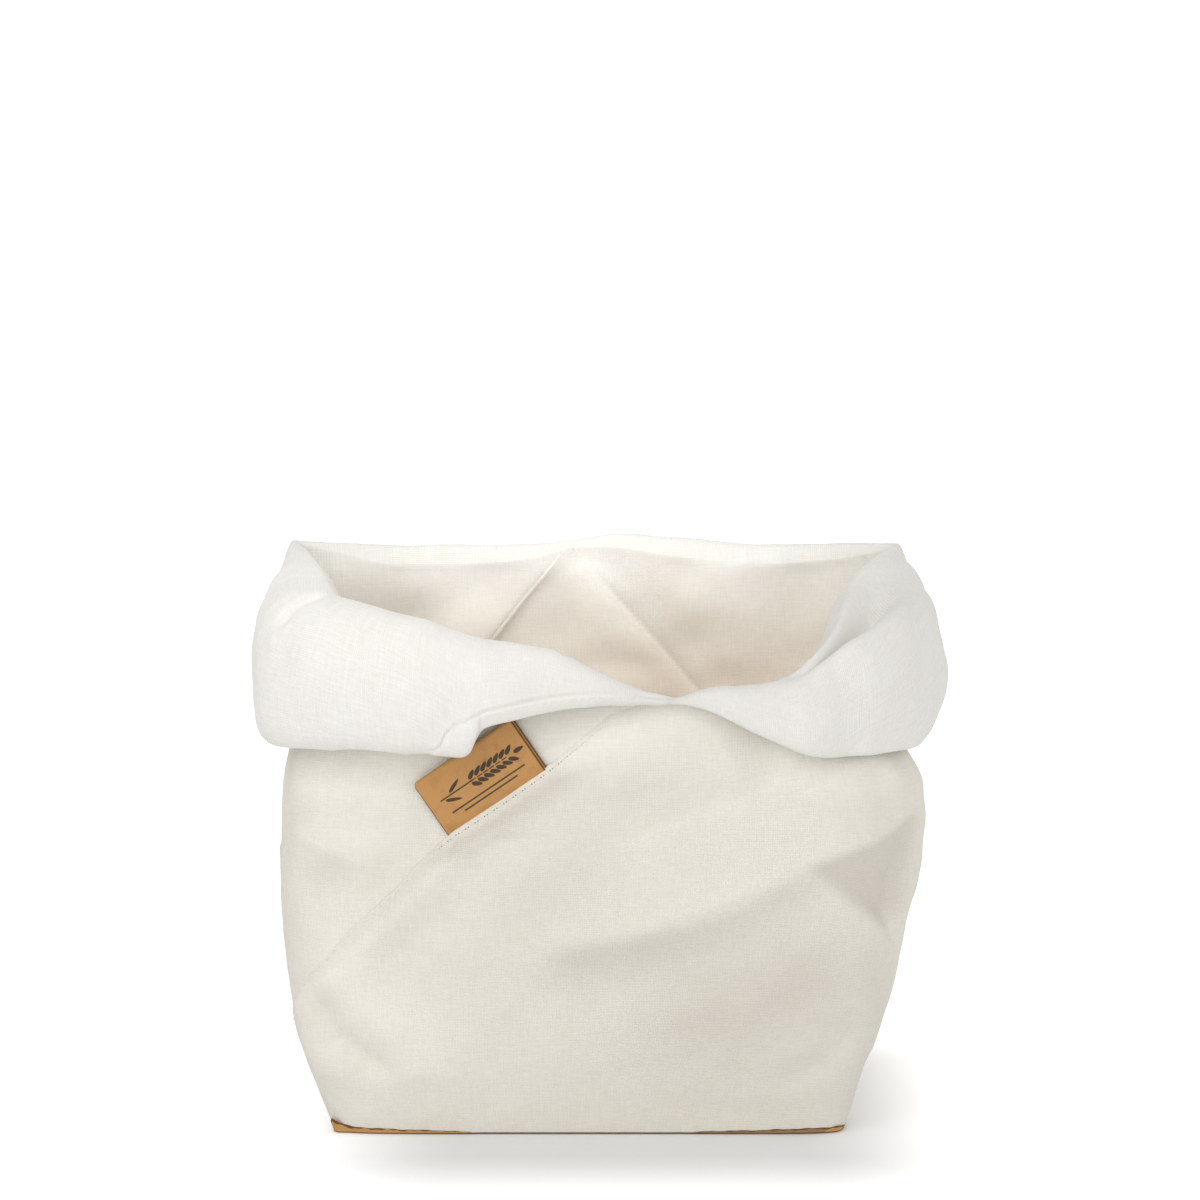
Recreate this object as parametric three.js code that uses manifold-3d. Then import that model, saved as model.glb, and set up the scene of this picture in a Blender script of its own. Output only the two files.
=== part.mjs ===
// Linen bread bag standing open on a paper base, its top rolled outward into a cuff.
// Millimetres, +Z up, front towards -Y, origin at the centre of the base's underside.
import * as THREE from 'three';
import { LoftGeometry } from 'three/addons/geometries/LoftGeometry.js';
import { mergeVertices } from 'three/addons/utils/BufferGeometryUtils.js';
import Module from 'manifold-3d';

const wasm = await Module();
wasm.setup();
const { Manifold, Mesh } = wasm;

// ---- driving dimensions -------------------------------------------------------------
const BASE_WIDTH = 174.6;      // paper base, left to right
const BASE_DEPTH = 140;        // paper base, front to back
const BASE_SHEET = 1.2;        // thickness of the paper
const BASE_LIP = 6;            // seam allowance of the paper, turned up inside the cloth
const CLOTH = 1.5;             // thickness of a linen wall
const GAP = 0.35;              // clearance between neighbouring pieces
const ROLL_GAP = 1.4;          // clearance between the top of a wall and the cuff over it
const WALL_BOTTOM = 1.55;      // where the cloth starts above the base sheet
const THREAD = 0.5;            // sewing thread
const STITCH_INSET = 2.2;      // stitched row from the edge of its seam
const LABEL_LENGTH = 40;       // folded paper label, along the seam
const LABEL_HEIGHT = 20.4;     // from the seam to its fold
const LABEL_PAPER = 0.6;       // one leaf
const LABEL_OPEN = 0.5;        // space between the two leaves
const LEAN_START = 116;        // height at which the wall starts to lean towards the rim

// Rings of the wall: height, half width, centre in x, reach to the front, to the back, squareness.
const WALL_RINGS = [
  [0, 87.3, 0, 70, 70, 16],
  [10, 91.8, -0.3, 74.5, 74.5, 11],
  [20, 96.2, -0.2, 77.5, 77.5, 9],
  [30, 101.0, 0.6, 80, 80, 7.5],
  [45, 105.8, 1.6, 82.5, 82.5, 6.2],
  [65, 109.4, 2.0, 84.5, 84.5, 5.4],
  [88, 112.4, 3.0, 84.5, 85, 5],
  [105, 112.8, 3.8, 83, 85, 4.8],
  [120, 111.6, 4.2, 81.5, 84.5, 4.6],
  [200, 108.0, 4.2, 81, 84, 4.6],
];

// Stations round the rim, starting at the dip of the front and going to the right:
// place on the neck (x, y), rim (x, y, z), reach of the roll beyond the rim, lower edge of the roll.
const RIM = [
  [28.5, -81, 28.5, -82, 151.0, 2.2, 149.4],
  [43, -81, 43.5, -82, 154.8, 5.6, 145.8],
  [53, -81, 53.3, -81, 155.2, 8.6, 141.0],
  [66, -80, 65.0, -78.6, 156.9, 12.0, 134.5],
  [80, -77.5, 74, -74, 162.0, 13.8, 130.4],
  [92, -72, 80.5, -66, 167.0, 19.5, 130.2],
  [107, -52, 86, -50, 172.5, 28.0, 131.5],
  [113, -28, 89.5, -29, 177.3, 32.5, 132.5],
  [115, 2, 94, 0, 181.0, 29.5, 133.0],
  [114, 38, 102, 38, 184.3, 21.0, 133.0],
  [111, 64, 110, 66, 187.0, 12.0, 133.0],
  [104, 76, 115, 84, 188.0, 8.0, 134.0],
  [90, 81, 98, 88, 187.7, 10.0, 135.0],
  [66, 83.5, 67, 91, 187.2, 13.0, 140.0],
  [50, 84, 50, 91.5, 187.2, 12.0, 150.0],
  [30, 84, 30, 92, 188.0, 9.5, 165.0],
  [12, 84, 11, 92, 189.2, 6.0, 178.0],
  [-3, 84, -5, 92, 188.9, 2.4, 186.4],
  [-18, 84, -20, 92, 187.2, 6.0, 178.0],
  [-36, 84, -38, 92, 187.0, 9.5, 163.0],
  [-54, 83.5, -56, 91.5, 186.8, 12.0, 148.0],
  [-70, 82.5, -73, 91, 186.8, 13.0, 139.0],
  [-86, 80, -91, 88.5, 187.6, 10.0, 135.0],
  [-99, 74, -110.5, 84, 189.3, 8.0, 134.0],
  [-105, 60, -107, 68, 188.6, 10.5, 133.0],
  [-108, 33, -101.5, 35, 187.4, 15.0, 133.0],
  [-108, 0, -96, 0, 186.3, 19.5, 133.5],
  [-106, -32, -91, -38, 185.0, 25.0, 135.0],
  [-97, -60, -86, -62, 183.2, 26.5, 135.5],
  [-80, -74, -76.5, -71.5, 181.6, 23.5, 135.4],
  [-63, -79, -62, -77.5, 178.2, 19.5, 135.0],
  [-48, -80, -49, -80.5, 175.2, 17.0, 137.0],
  [-33, -81, -33, -82, 170.0, 13.5, 144.5],
  [-14, -81, -14.5, -82.5, 167.5, 9.5, 147.5],
  [7, -81, 6.5, -82.5, 158.3, 5.5, 149.6],
  [20, -81, 21, -82, 152.6, 3.0, 149.6],
];

// Diagonal seam on the front, from the dip of the rim to the left front corner: x, z on the wall.
const FRONT_SEAM = [
  [28.5, 151.0], [17, 149.0], [7, 145.0], [-2.9, 136.9], [-12.9, 128.9], [-29.5, 116.8], [-47.2, 105.0],
  [-58, 94.9], [-64.7, 87.4], [-71.5, 81.1], [-80, 73.2], [-89, 62.7],
];
const SEAM_FALL = 0.9;         // fall of the seam per millimetre where it runs on round the side
const BACK_TOP_X = -5;         // the back seam starts at the rim here and falls towards the right side
const BACK_SEAM_FALL = 1.15;
const BACK_SEAM_TOP = 187;

// ---- colours ------------------------------------------------------------------------
const LINEN = 0xe9e5db;
const LINEN_CUFF = 0xefece4;
const PAPER = 0xb98a54;
const LABEL_PAPER_COLOUR = 0xc4925a;
const THREAD_COLOUR = 0xe2dccb;

// ---- helpers ------------------------------------------------------------------------
const V3 = (x, y, z) => new THREE.Vector3(x, y, z);
const smooth = (t) => { const c = Math.min(1, Math.max(0, t)); return c * c * (3 - 2 * c); };

function ringAt(z) {
  const rows = WALL_RINGS;
  let i = 0;
  while (i < rows.length - 2 && z > rows[i + 1][0]) i++;
  const a = rows[Math.max(0, i - 1)], b = rows[i], c = rows[i + 1], d = rows[Math.min(rows.length - 1, i + 2)];
  const h = c[0] - b[0], t = Math.min(1, Math.max(0, (z - b[0]) / h));
  const out = [];
  for (let k = 1; k < 6; k++) {
    const m0 = i > 0 ? (c[k] - a[k]) / (c[0] - a[0]) : (c[k] - b[k]) / h;
    const m1 = i < rows.length - 2 ? (d[k] - b[k]) / (d[0] - b[0]) : (c[k] - b[k]) / h;
    const t2 = t * t, t3 = t2 * t;
    out.push((2 * t3 - 3 * t2 + 1) * b[k] + (t3 - 2 * t2 + t) * h * m0 + (-2 * t3 + 3 * t2) * c[k] + (t3 - t2) * h * m1);
  }
  return out;
}

const RING_SAMPLES = 1440;
const ringCache = new Map();
function ring(z) {
  const key = Math.round(z * 20);
  if (ringCache.has(key)) return ringCache.get(key);
  const [a, cx, f, b, n] = ringAt(z);
  const xs = [], ys = [], len = [0];
  for (let i = 0; i <= RING_SAMPLES; i++) {
    const psi = -Math.PI / 2 + 2 * Math.PI * i / RING_SAMPLES;
    const c = Math.abs(Math.cos(psi)) < 1e-9 ? 0 : Math.cos(psi), s = Math.sin(psi);
    xs.push(cx + a * Math.sign(c) * Math.abs(c) ** (2 / n));
    ys.push((s < 0 ? f : b) * Math.sign(s) * Math.abs(s) ** (2 / n));
    if (i) len.push(len[i - 1] + Math.hypot(xs[i] - xs[i - 1], ys[i] - ys[i - 1]));
  }
  const got = { xs, ys, len, total: len[RING_SAMPLES] };
  ringCache.set(key, got);
  return got;
}

function onRing(z, tau) {
  const r = ring(z), t = (tau - Math.floor(tau)) * r.total;
  let lo = 0, hi = RING_SAMPLES;
  while (hi - lo > 1) { const mid = (lo + hi) >> 1; if (r.len[mid] <= t) lo = mid; else hi = mid; }
  const k = (t - r.len[lo]) / Math.max(1e-9, r.len[hi] - r.len[lo]);
  return [r.xs[lo] + (r.xs[hi] - r.xs[lo]) * k, r.ys[lo] + (r.ys[hi] - r.ys[lo]) * k];
}

function tauNear(z, x, y) {
  const r = ring(z);
  let best = 0, far = Infinity;
  for (let i = 0; i < RING_SAMPLES; i++) {
    for (let k = 0; k < 8; k++) {
      const q = k / 8;
      const d = Math.hypot(r.xs[i] + (r.xs[i + 1] - r.xs[i]) * q - x, r.ys[i] + (r.ys[i + 1] - r.ys[i]) * q - y);
      if (d < far) { far = d; best = (r.len[i] + (r.len[i + 1] - r.len[i]) * q) / r.total; }
    }
  }
  return best;
}

const stations = RIM.map((row) => {
  const t = tauNear(120, row[0], row[1]);
  return [t, ...row.slice(2)];
}).sort((p, q) => p[0] - q[0]);

function atRim(tau, k) {
  const n = stations.length, t = tau - Math.floor(tau);
  let i = stations.findIndex((s) => s[0] > t);
  if (i < 0) i = n;
  const pick = (j) => { const w = Math.floor(j / n); const s = stations[j - w * n]; return [s[0] + w, s[k]]; };
  const t0 = i === 0 ? t + 1 : t, base = i === 0 ? n : i;
  const [p, q, r, s] = [pick(base - 2), pick(base - 1), pick(base), pick(base + 1)];
  const h = r[0] - q[0], slope = (r[1] - q[1]) / h;
  const before = (q[1] - p[1]) / (q[0] - p[0]), after = (s[1] - r[1]) / (s[0] - r[0]);
  const tan = (m, c) => (m * c <= 0 ? 0 : 2 * m * c / (m + c));
  const m0 = tan(before, slope), m1 = tan(slope, after);
  const u = Math.min(1, Math.max(0, (t0 - q[0]) / h)), u2 = u * u, u3 = u2 * u;
  return (2 * u3 - 3 * u2 + 1) * q[1] + (u3 - 2 * u2 + u) * h * m0 + (-2 * u3 + 3 * u2) * r[1] + (u3 - u2) * h * m1;
}
const rimOf = (tau) => V3(atRim(tau, 1), atRim(tau, 2), atRim(tau, 3));
const reachOf = (tau) => atRim(tau, 4);
const rollBottom = (tau) => atRim(tau, 5);
const wallTop = (tau) => Math.min(rollBottom(tau) + 3, atRim(tau, 3) - 1.9);

// Outer face of the wall.
function wallAt(tau, z) {
  const [x, y] = onRing(z, tau);
  const zr = atRim(tau, 3);
  const s = smooth((z - LEAN_START) / (zr - LEAN_START));
  return V3(x + (atRim(tau, 1) - x) * s, y + (atRim(tau, 2) - y) * s, z);
}
function wallOut(tau, z) {
  const d = 0.0015;
  const p = wallAt(tau - d, z), q = wallAt(tau + d, z);
  return V3(q.y - p.y, p.x - q.x, 0).normalize();
}
function rimOut(tau) {
  const out = V3(0, 0, 0);
  for (let k = -3; k <= 3; k++) {
    const p = rimOf(tau + (k - 1) * 0.006), q = rimOf(tau + (k + 1) * 0.006);
    out.add(V3(q.y - p.y, p.x - q.x, 0).normalize());
  }
  return out.normalize();
}

function frontTau(z, x) { return tauNear(z, x, -ringAt(z)[2]); }

const seamTable = FRONT_SEAM.map(([x, z]) => { const t = frontTau(Math.min(z, 120), x); return [t > 0.5 ? t - 1 : t, z]; });
function frontSeam(z) {
  const n = seamTable.length;
  if (z >= seamTable[0][1]) return seamTable[0][0];
  for (let i = 0; i < n - 1; i++) {
    const [t0, z0] = seamTable[i], [t1, z1] = seamTable[i + 1];
    if (z <= z0 && z >= z1) return t0 + (t1 - t0) * (z0 - z) / (z0 - z1);
  }
  const [tl, zl] = seamTable[n - 1];
  return tl - (zl - z) / SEAM_FALL / ring(40).total;
}
const backTop = tauNear(120, BACK_TOP_X, 84.5);
function backSeam(z) {
  return backTop - Math.max(0, BACK_SEAM_TOP - z) / BACK_SEAM_FALL / ring(80).total;
}

// Place of a seam on a row of the wall (v from the bottom to the top of the wall).
const rowHeight = (tau, v) => WALL_BOTTOM + v * (wallTop(tau) - WALL_BOTTOM);
function seamOnRow(seam, v) {
  let t = seam(rowHeight(0.3, v));
  for (let k = 0; k < 24; k++) t += 0.5 * (seam(rowHeight(t, v)) - t);
  return t;
}

const ROWS = [0, 0.05, 0.12, 0.2, 0.3, 0.42, 0.55, 0.68, 0.8, 0.9, 1];
const COLUMNS = 112;

// The whole wall, all the way round.
function wallRing() {
  const sections = [];
  for (let i = 0; i <= COLUMNS; i++) {
    const t = (i % COLUMNS) / COLUMNS;
    const outer = [], inner = [];
    for (const v of ROWS) {
      const z = rowHeight(t, v), p = wallAt(t, z);
      outer.push(p);
      inner.push(p.clone().addScaledVector(wallOut(t, z), -CLOTH));
    }
    sections.push(inner.concat(outer.reverse()));
  }
  return tidy(new LoftGeometry(sections));
}

// Space between two seams, thick enough to hold all of the wall that lies between them.
function between(startSeam, endSeam) {
  const levels = [-0.04], count = 72;
  for (let i = 1; i < 40; i++) levels.push(i / 40);
  levels.push(1.04);
  const sections = levels.map((v) => {
    const w = Math.min(1, Math.max(0, v)), gap = 1.6 * GAP / ring(60).total;
    const t0 = startSeam(w) + gap, t1 = endSeam(w) - gap;
    const outer = [], inner = [];
    for (let i = 0; i <= count; i++) {
      const t = t0 + (t1 - t0) * i / count, z = rowHeight(t, w);
      const p = wallAt(t, z), n = wallOut(t, z);
      p.z = rowHeight(t, v);
      outer.push(p.clone().addScaledVector(n, 5));
      inner.push(p.clone().addScaledVector(n, -CLOTH - 4));
    }
    return { outer, inner };
  });
  // the bottom and top close on the middle
  const edge = ({ outer, inner }, lift) => {
    const middle = outer.map((p, i) => p.clone().lerp(inner[i], 0.5).add(V3(0, 0, lift)));
    return { outer: middle, inner: middle };
  };
  const all = [edge(sections[0], -4), ...sections, edge(sections[sections.length - 1], 4)];
  return tidy(new LoftGeometry(all.map(({ outer, inner }) => outer.concat([...inner].reverse()))));
}

// The same surface without repeated points and without faces of no area.
function tidy(geometry) {
  const bare = new THREE.BufferGeometry();
  bare.setAttribute('position', geometry.getAttribute('position'));
  bare.setIndex(geometry.index);
  const g = mergeVertices(bare, 1e-4);
  const kept = [];
  for (let i = 0; i < g.index.count; i += 3) {
    const [a, b, c] = [g.index.getX(i), g.index.getX(i + 1), g.index.getX(i + 2)];
    if (a !== b && b !== c && c !== a) kept.push(a, b, c);
  }
  g.setIndex(kept);
  g.computeVertexNormals();
  return g;
}

// One rolled cuff between two places on the rim.
function cuff(from, to, count) {
  const sections = [];
  for (let i = 0; i <= count; i++) {
    const tau = from + (to - from) * i / count;
    const rim = rimOf(tau), n = rimOut(tau), w = reachOf(tau), zb = rollBottom(tau), zr = rim.z;
    const zw = wallTop(tau) + ROLL_GAP * Math.min(1, (zr - zb) / 10), h = zr - zb;
    const along = (d, z) => V3(rim.x + n.x * d, rim.y + n.y * d, z);
    const inside = (z) => wallAt(tau, z).addScaledVector(wallOut(tau, z), -CLOTH);
    const foot = wallAt(tau, zw), reach = along(Math.max(1.6, w), zr);
    const hang = (k, z) => V3(foot.x + (reach.x - foot.x) * k, foot.y + (reach.y - foot.y) * k, z);
    sections.push([
      inside(zw),
      inside(zw + (zr - zw) * 0.5),
      inside(zw + (zr - zw) * 0.9),
      along(-0.4, zr),
      along(Math.max(1.0, w * 0.34), zr - 0.07 * h),
      along(Math.max(1.3, w * 0.76), zr - 0.34 * h),
      along(Math.max(1.6, w), zr - 0.64 * h),
      hang(0.94, zb + 0.14 * h),
      hang(0.68, zb),
      hang(0.3, zw - 0.5 * Math.min(1, h / 12)),
      foot,
    ]);
  }
  return new LoftGeometry(sections, { capStart: true, capEnd: true });
}

function thread(points) {
  const round = new THREE.Shape();
  for (let i = 0; i < 6; i++) {
    const a = i * Math.PI / 3;
    const x = THREAD / 2 * Math.cos(a), y = THREAD / 2 * Math.sin(a);
    if (i) round.lineTo(x, y); else round.moveTo(x, y);
  }
  round.closePath();
  const path = new THREE.CatmullRomCurve3(points, false, 'centripetal');
  return new THREE.ExtrudeGeometry(round, { steps: points.length, bevelEnabled: false, extrudePath: path });
}

function solid(geometry) {
  const bare = new THREE.BufferGeometry();
  bare.setAttribute('position', geometry.getAttribute('position'));
  if (geometry.index) bare.setIndex(geometry.index);
  const g = mergeVertices(bare, 1e-4);
  const m = new Mesh({ numProp: 3, vertProperties: new Float32Array(g.getAttribute('position').array), triVerts: new Uint32Array(g.index.array) });
  m.merge();
  return new Manifold(m);
}
function join(first, second) { return surface(solid(first).add(solid(second))); }
function common(first, second) { return surface(solid(first).intersect(solid(second))); }
function surface(body) {
  const got = body.getMesh();
  const g = new THREE.BufferGeometry();
  g.setAttribute('position', new THREE.Float32BufferAttribute(got.vertProperties, 3));
  g.setIndex(Array.from(got.triVerts));
  g.computeVertexNormals();
  return g;
}

function material(colour, roughness) {
  return new THREE.MeshStandardMaterial({ color: colour, roughness, metalness: 0 });
}
const group = new THREE.Group();
group.name = 'bread_bag';
function add(name, geometry, colour, roughness) {
  const mesh = new THREE.Mesh(geometry, material(colour, roughness));
  mesh.name = name;
  group.add(mesh);
  return mesh;
}

// ---- paper base: flat sheet with its seam allowance turned up inside the cloth -------
function outline(inset, z) {
  const points = [], count = 96;
  const n = WALL_RINGS[0][5], a = BASE_WIDTH / 2 - inset, b = BASE_DEPTH / 2 - inset;
  const fine = [];
  for (let i = 0; i <= 2880; i++) {
    const psi = 2 * Math.PI * i / 2880, c = Math.cos(psi), s = Math.sin(psi);
    const p = V3(a * Math.sign(c) * Math.abs(c) ** (2 / n), b * Math.sign(s) * Math.abs(s) ** (2 / n), z);
    p.run = i ? fine[i - 1].run + p.distanceTo(fine[i - 1]) : 0;
    fine.push(p);
  }
  const total = fine[2880].run;
  for (let k = 0; k < count; k++) {
    const want = total * k / count;
    const j = fine.findIndex((p) => p.run >= want - 1e-9);
    points.push(V3(fine[j].x, fine[j].y, z));
  }
  return points;
}
{
  const inset = CLOTH + 2.6 * GAP;
  const sheet = new LoftGeometry([outline(0, 0), outline(0, BASE_SHEET)], { capStart: true, capEnd: true });
  const ring = new THREE.Shape(outline(inset, 0).map((p) => new THREE.Vector2(p.x, p.y)));
  ring.holes.push(new THREE.Path(outline(inset + BASE_SHEET, 0).map((p) => new THREE.Vector2(p.x, p.y))));
  const lipRing = new THREE.ExtrudeGeometry(ring, { depth: BASE_LIP + BASE_SHEET / 2, bevelEnabled: false });
  lipRing.translate(0, 0, BASE_SHEET / 2);
  add('paper_base', join(sheet, lipRing), PAPER, 0.75);

  const lip = BASE_SHEET + BASE_LIP * 0.6;
  const off = inset + BASE_SHEET + GAP + THREAD / 2;
  const loop = outline(off, lip);
  add('base_seam_thread', thread(loop), THREAD_COLOUR, 0.8);
}

// ---- linen panels, meeting at the two diagonal seams ---------------------------------
const frontRow = (v) => seamOnRow(frontSeam, v);
const backRow = (v) => seamOnRow(backSeam, v);
const wall = wallRing();
add('right_linen_panel', common(wall, between(frontRow, backRow)), LINEN, 0.9);
add('left_linen_panel', common(wall, between((v) => backRow(v) - 1, frontRow)), LINEN, 0.9);

// ---- rolled cuffs, tapering to the dip at the front and meeting at the back ----------
const tauFront = tauNear(120, 28.5, -81), tauBack = backTop;
const nip = 0.9 / ring(120).total;
add('right_cuff', cuff(tauFront + nip * 2.2, tauBack - nip, 64), LINEN_CUFF, 0.9);
add('left_cuff', cuff(tauBack - 1 + nip, tauFront - nip * 2.2, 64), LINEN_CUFF, 0.9);

// ---- stitched rows along the diagonal seams -----------------------------------------
function seamRow(seam, side, zLow, zHigh, count) {
  const points = [];
  for (let i = 0; i <= count; i++) {
    const z = zHigh + (zLow - zHigh) * i / count;
    const t = seam(z) + side * STITCH_INSET * 1.35 / ring(z).total;
    const zz = z;
    const n = wallOut(t, zz);
    points.push(wallAt(t, zz).addScaledVector(n, GAP + THREAD / 2));
  }
  return points;
}
add('front_seam_thread', thread(seamRow(frontSeam, 1, 8, 126, 26)), THREAD_COLOUR, 0.8);
add('back_seam_thread', thread(seamRow(backSeam, 1, 8, 166, 34)), THREAD_COLOUR, 0.8);

// ---- stitched rows along the hems of the two flaps ----------------------------------
function hemRow(from, to, count) {
  const points = [];
  for (let i = 0; i <= count; i++) {
    const tau = from + (to - from) * i / count;
    const rim = rimOf(tau), n = rimOut(tau), w = reachOf(tau), zb = rollBottom(tau), h = rim.z - zb;
    const d = Math.max(1.6, w) + GAP + THREAD / 2 + 0.25;
    points.push(V3(rim.x + n.x * d, rim.y + n.y * d, rim.z - 0.62 * h));
  }
  return points;
}
const tauLobe = frontTau(120, -36) - 1, tauNearDip = frontTau(120, 18);
add('left_hem_thread', thread(hemRow(tauLobe, tauNearDip, 14)), THREAD_COLOUR, 0.8);
const tauBackLobe = tauNear(120, 52, 84.5), tauBackEnd = tauNear(120, 4, 84.5);
add('right_hem_thread', thread(hemRow(tauBackLobe, tauBackEnd, 14)), THREAD_COLOUR, 0.8);

// ---- folded paper label, its open ends caught in the front seam ----------------------
{
  const a = wallAt(frontTau(105.5, -47.2), 105.5), b = wallAt(frontTau(120, -13.9), 128);
  const axis = b.clone().sub(a).normalize();
  const middle = a.clone().add(b).multiplyScalar(0.5);
  const out = V3(0, -1, 0);
  out.addScaledVector(axis, -out.dot(axis)).normalize();
  const up = axis.clone().cross(out).normalize();
  if (up.z < 0) up.negate();
  // distance that clears the bulge of the wall under the label
  let clear = 0;
  for (let i = -4; i <= 4; i++) for (let j = 0; j <= 4; j++) {
    const p = middle.clone().addScaledVector(axis, i / 8 * LABEL_LENGTH).addScaledVector(up, j / 4 * LABEL_HEIGHT);
    const q = wallAt(frontTau(Math.min(p.z, 120), p.x), p.z);
    clear = Math.max(clear, q.clone().sub(p).dot(out));
  }
  const back = clear + GAP;
  const t = LABEL_PAPER, g = LABEL_OPEN, whole = 2 * t + g;
  const section = new THREE.Shape();
  section.moveTo(0, 0);
  section.lineTo(t, 0);
  section.lineTo(t, LABEL_HEIGHT - whole / 2);
  section.lineTo(t + g, LABEL_HEIGHT - whole / 2);
  section.lineTo(t + g, 0);
  section.lineTo(whole, 0);
  section.lineTo(whole, LABEL_HEIGHT - whole / 2);
  section.absarc(whole / 2, LABEL_HEIGHT - whole / 2, whole / 2, 0, Math.PI, false);
  section.closePath();
  const strip = new THREE.ExtrudeGeometry(section, { depth: LABEL_LENGTH, steps: 1, bevelEnabled: false, curveSegments: 6 });
  const along = out.clone().cross(up);
  const m = new THREE.Matrix4().makeBasis(out, up, along);
  const start = middle.clone().addScaledVector(out, back).addScaledVector(along, -LABEL_LENGTH / 2);
  strip.applyMatrix4(m);
  strip.translate(start.x, start.y, start.z);
  add('paper_label', strip, LABEL_PAPER_COLOUR, 0.75);
  group.userData.label = { middle: middle.addScaledVector(out, back), axis, out, up };
}

export default group;
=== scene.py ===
import math

import bpy
import numpy as np
from mathutils import Matrix, Vector


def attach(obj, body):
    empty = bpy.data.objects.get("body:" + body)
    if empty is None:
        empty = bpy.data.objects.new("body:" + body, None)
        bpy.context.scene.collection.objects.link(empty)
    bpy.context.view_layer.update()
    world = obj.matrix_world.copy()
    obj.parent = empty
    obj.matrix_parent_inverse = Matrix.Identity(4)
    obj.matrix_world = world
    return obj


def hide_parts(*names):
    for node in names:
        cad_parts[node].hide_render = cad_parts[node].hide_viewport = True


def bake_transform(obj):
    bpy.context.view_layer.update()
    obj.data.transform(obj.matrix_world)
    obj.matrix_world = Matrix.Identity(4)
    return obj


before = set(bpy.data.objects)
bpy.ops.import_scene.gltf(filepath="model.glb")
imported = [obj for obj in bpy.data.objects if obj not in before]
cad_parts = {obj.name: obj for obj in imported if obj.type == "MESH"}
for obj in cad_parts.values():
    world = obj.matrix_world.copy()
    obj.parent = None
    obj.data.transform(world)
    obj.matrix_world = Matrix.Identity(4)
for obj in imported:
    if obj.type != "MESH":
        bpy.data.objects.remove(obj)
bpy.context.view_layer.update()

MM = 0.001
rng = np.random.default_rng(41)

# ------------------------------------------------------------------ camera, light, floor
LENS = 107.4
scene = bpy.context.scene
scene.view_settings.view_transform = "Standard"
scene.view_settings.look = "None"
scene.view_settings.exposure = 0.0
scene.view_settings.gamma = 1.0

ELEVATION, DISTANCE, TARGET_Z = math.radians(9.5), 1.275, 0.090
cam_data = bpy.data.cameras.new("camera")
cam = bpy.data.objects.new("camera", cam_data)
scene.collection.objects.link(cam)
cam.location = (0, -DISTANCE * math.cos(ELEVATION), TARGET_Z + DISTANCE * math.sin(ELEVATION))
cam.rotation_euler = (math.pi / 2 - ELEVATION, 0, 0)
cam_data.lens = LENS
cam_data.sensor_width = 36.0
cam_data.shift_x = 11 / 1200
cam_data.shift_y = 238.8 / 1200
scene.camera = cam

world = bpy.data.worlds.new("studio")
scene.world = world
world.use_nodes = True
background = world.node_tree.nodes["Background"]
background.inputs["Color"].default_value = (1, 1, 1, 1)
background.inputs["Strength"].default_value = 0.62


def area_light(name, place, aim, size, power, colour=(1, 1, 1)):
    data = bpy.data.lights.new(name, "AREA")
    data.shape = "RECTANGLE"
    data.size, data.size_y = size
    data.energy = power
    data.color = colour
    obj = bpy.data.objects.new(name, data)
    scene.collection.objects.link(obj)
    obj.location = place
    obj.rotation_euler = (Vector(aim) - Vector(place)).to_track_quat("-Z", "Y").to_euler()
    return obj


area_light("key", (-1.2, -1.35, 1.5), (0, 0, 0.12), (1.6, 1.6), 9.2)
area_light("front", (0.0, -1.5, 0.25), (0, 0, 0.08), (1.6, 0.5), 3.5)
area_light("side", (1.3, -1.0, 0.9), (0, 0, 0.12), (1.0, 1.0), 1.8)
area_light("rear", (1.35, 1.0, 0.6), (0, 0, 0.1), (0.8, 0.8), 2.5)


def snoot(name, place, aim, angle, power, radius):
    data = bpy.data.lights.new(name, "SPOT")
    data.energy = power
    data.spot_size = math.radians(angle)
    data.spot_blend = 0.8
    data.shadow_soft_size = radius
    obj = bpy.data.objects.new(name, data)
    scene.collection.objects.link(obj)
    obj.location = place
    obj.rotation_euler = (Vector(aim) - Vector(place)).to_track_quat("-Z", "Y").to_euler()
    return obj


snoot("inside_fill", (-0.65, -1.15, 1.45), (0.005, 0.085, 0.135), 8.0, 55, 0.05)


# ------------------------------------------------------------------ shape of the bag, in mm
# height, half width, centre in x, reach to the front, to the back, squareness
WALL_RINGS = np.array([
    [0, 87.3, 0, 70, 70, 16],
    [10, 91.8, -0.3, 74.5, 74.5, 11],
    [20, 96.2, -0.2, 77.5, 77.5, 9],
    [30, 101.0, 0.6, 80, 80, 7.5],
    [45, 105.8, 1.6, 82.5, 82.5, 6.2],
    [65, 109.4, 2.0, 84.5, 84.5, 5.4],
    [88, 112.4, 3.0, 84.5, 85, 5],
    [105, 112.8, 3.8, 83, 85, 4.8],
    [120, 111.6, 4.2, 81.5, 84.5, 4.6],
    [200, 108.0, 4.2, 81, 84, 4.6],
])
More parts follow.
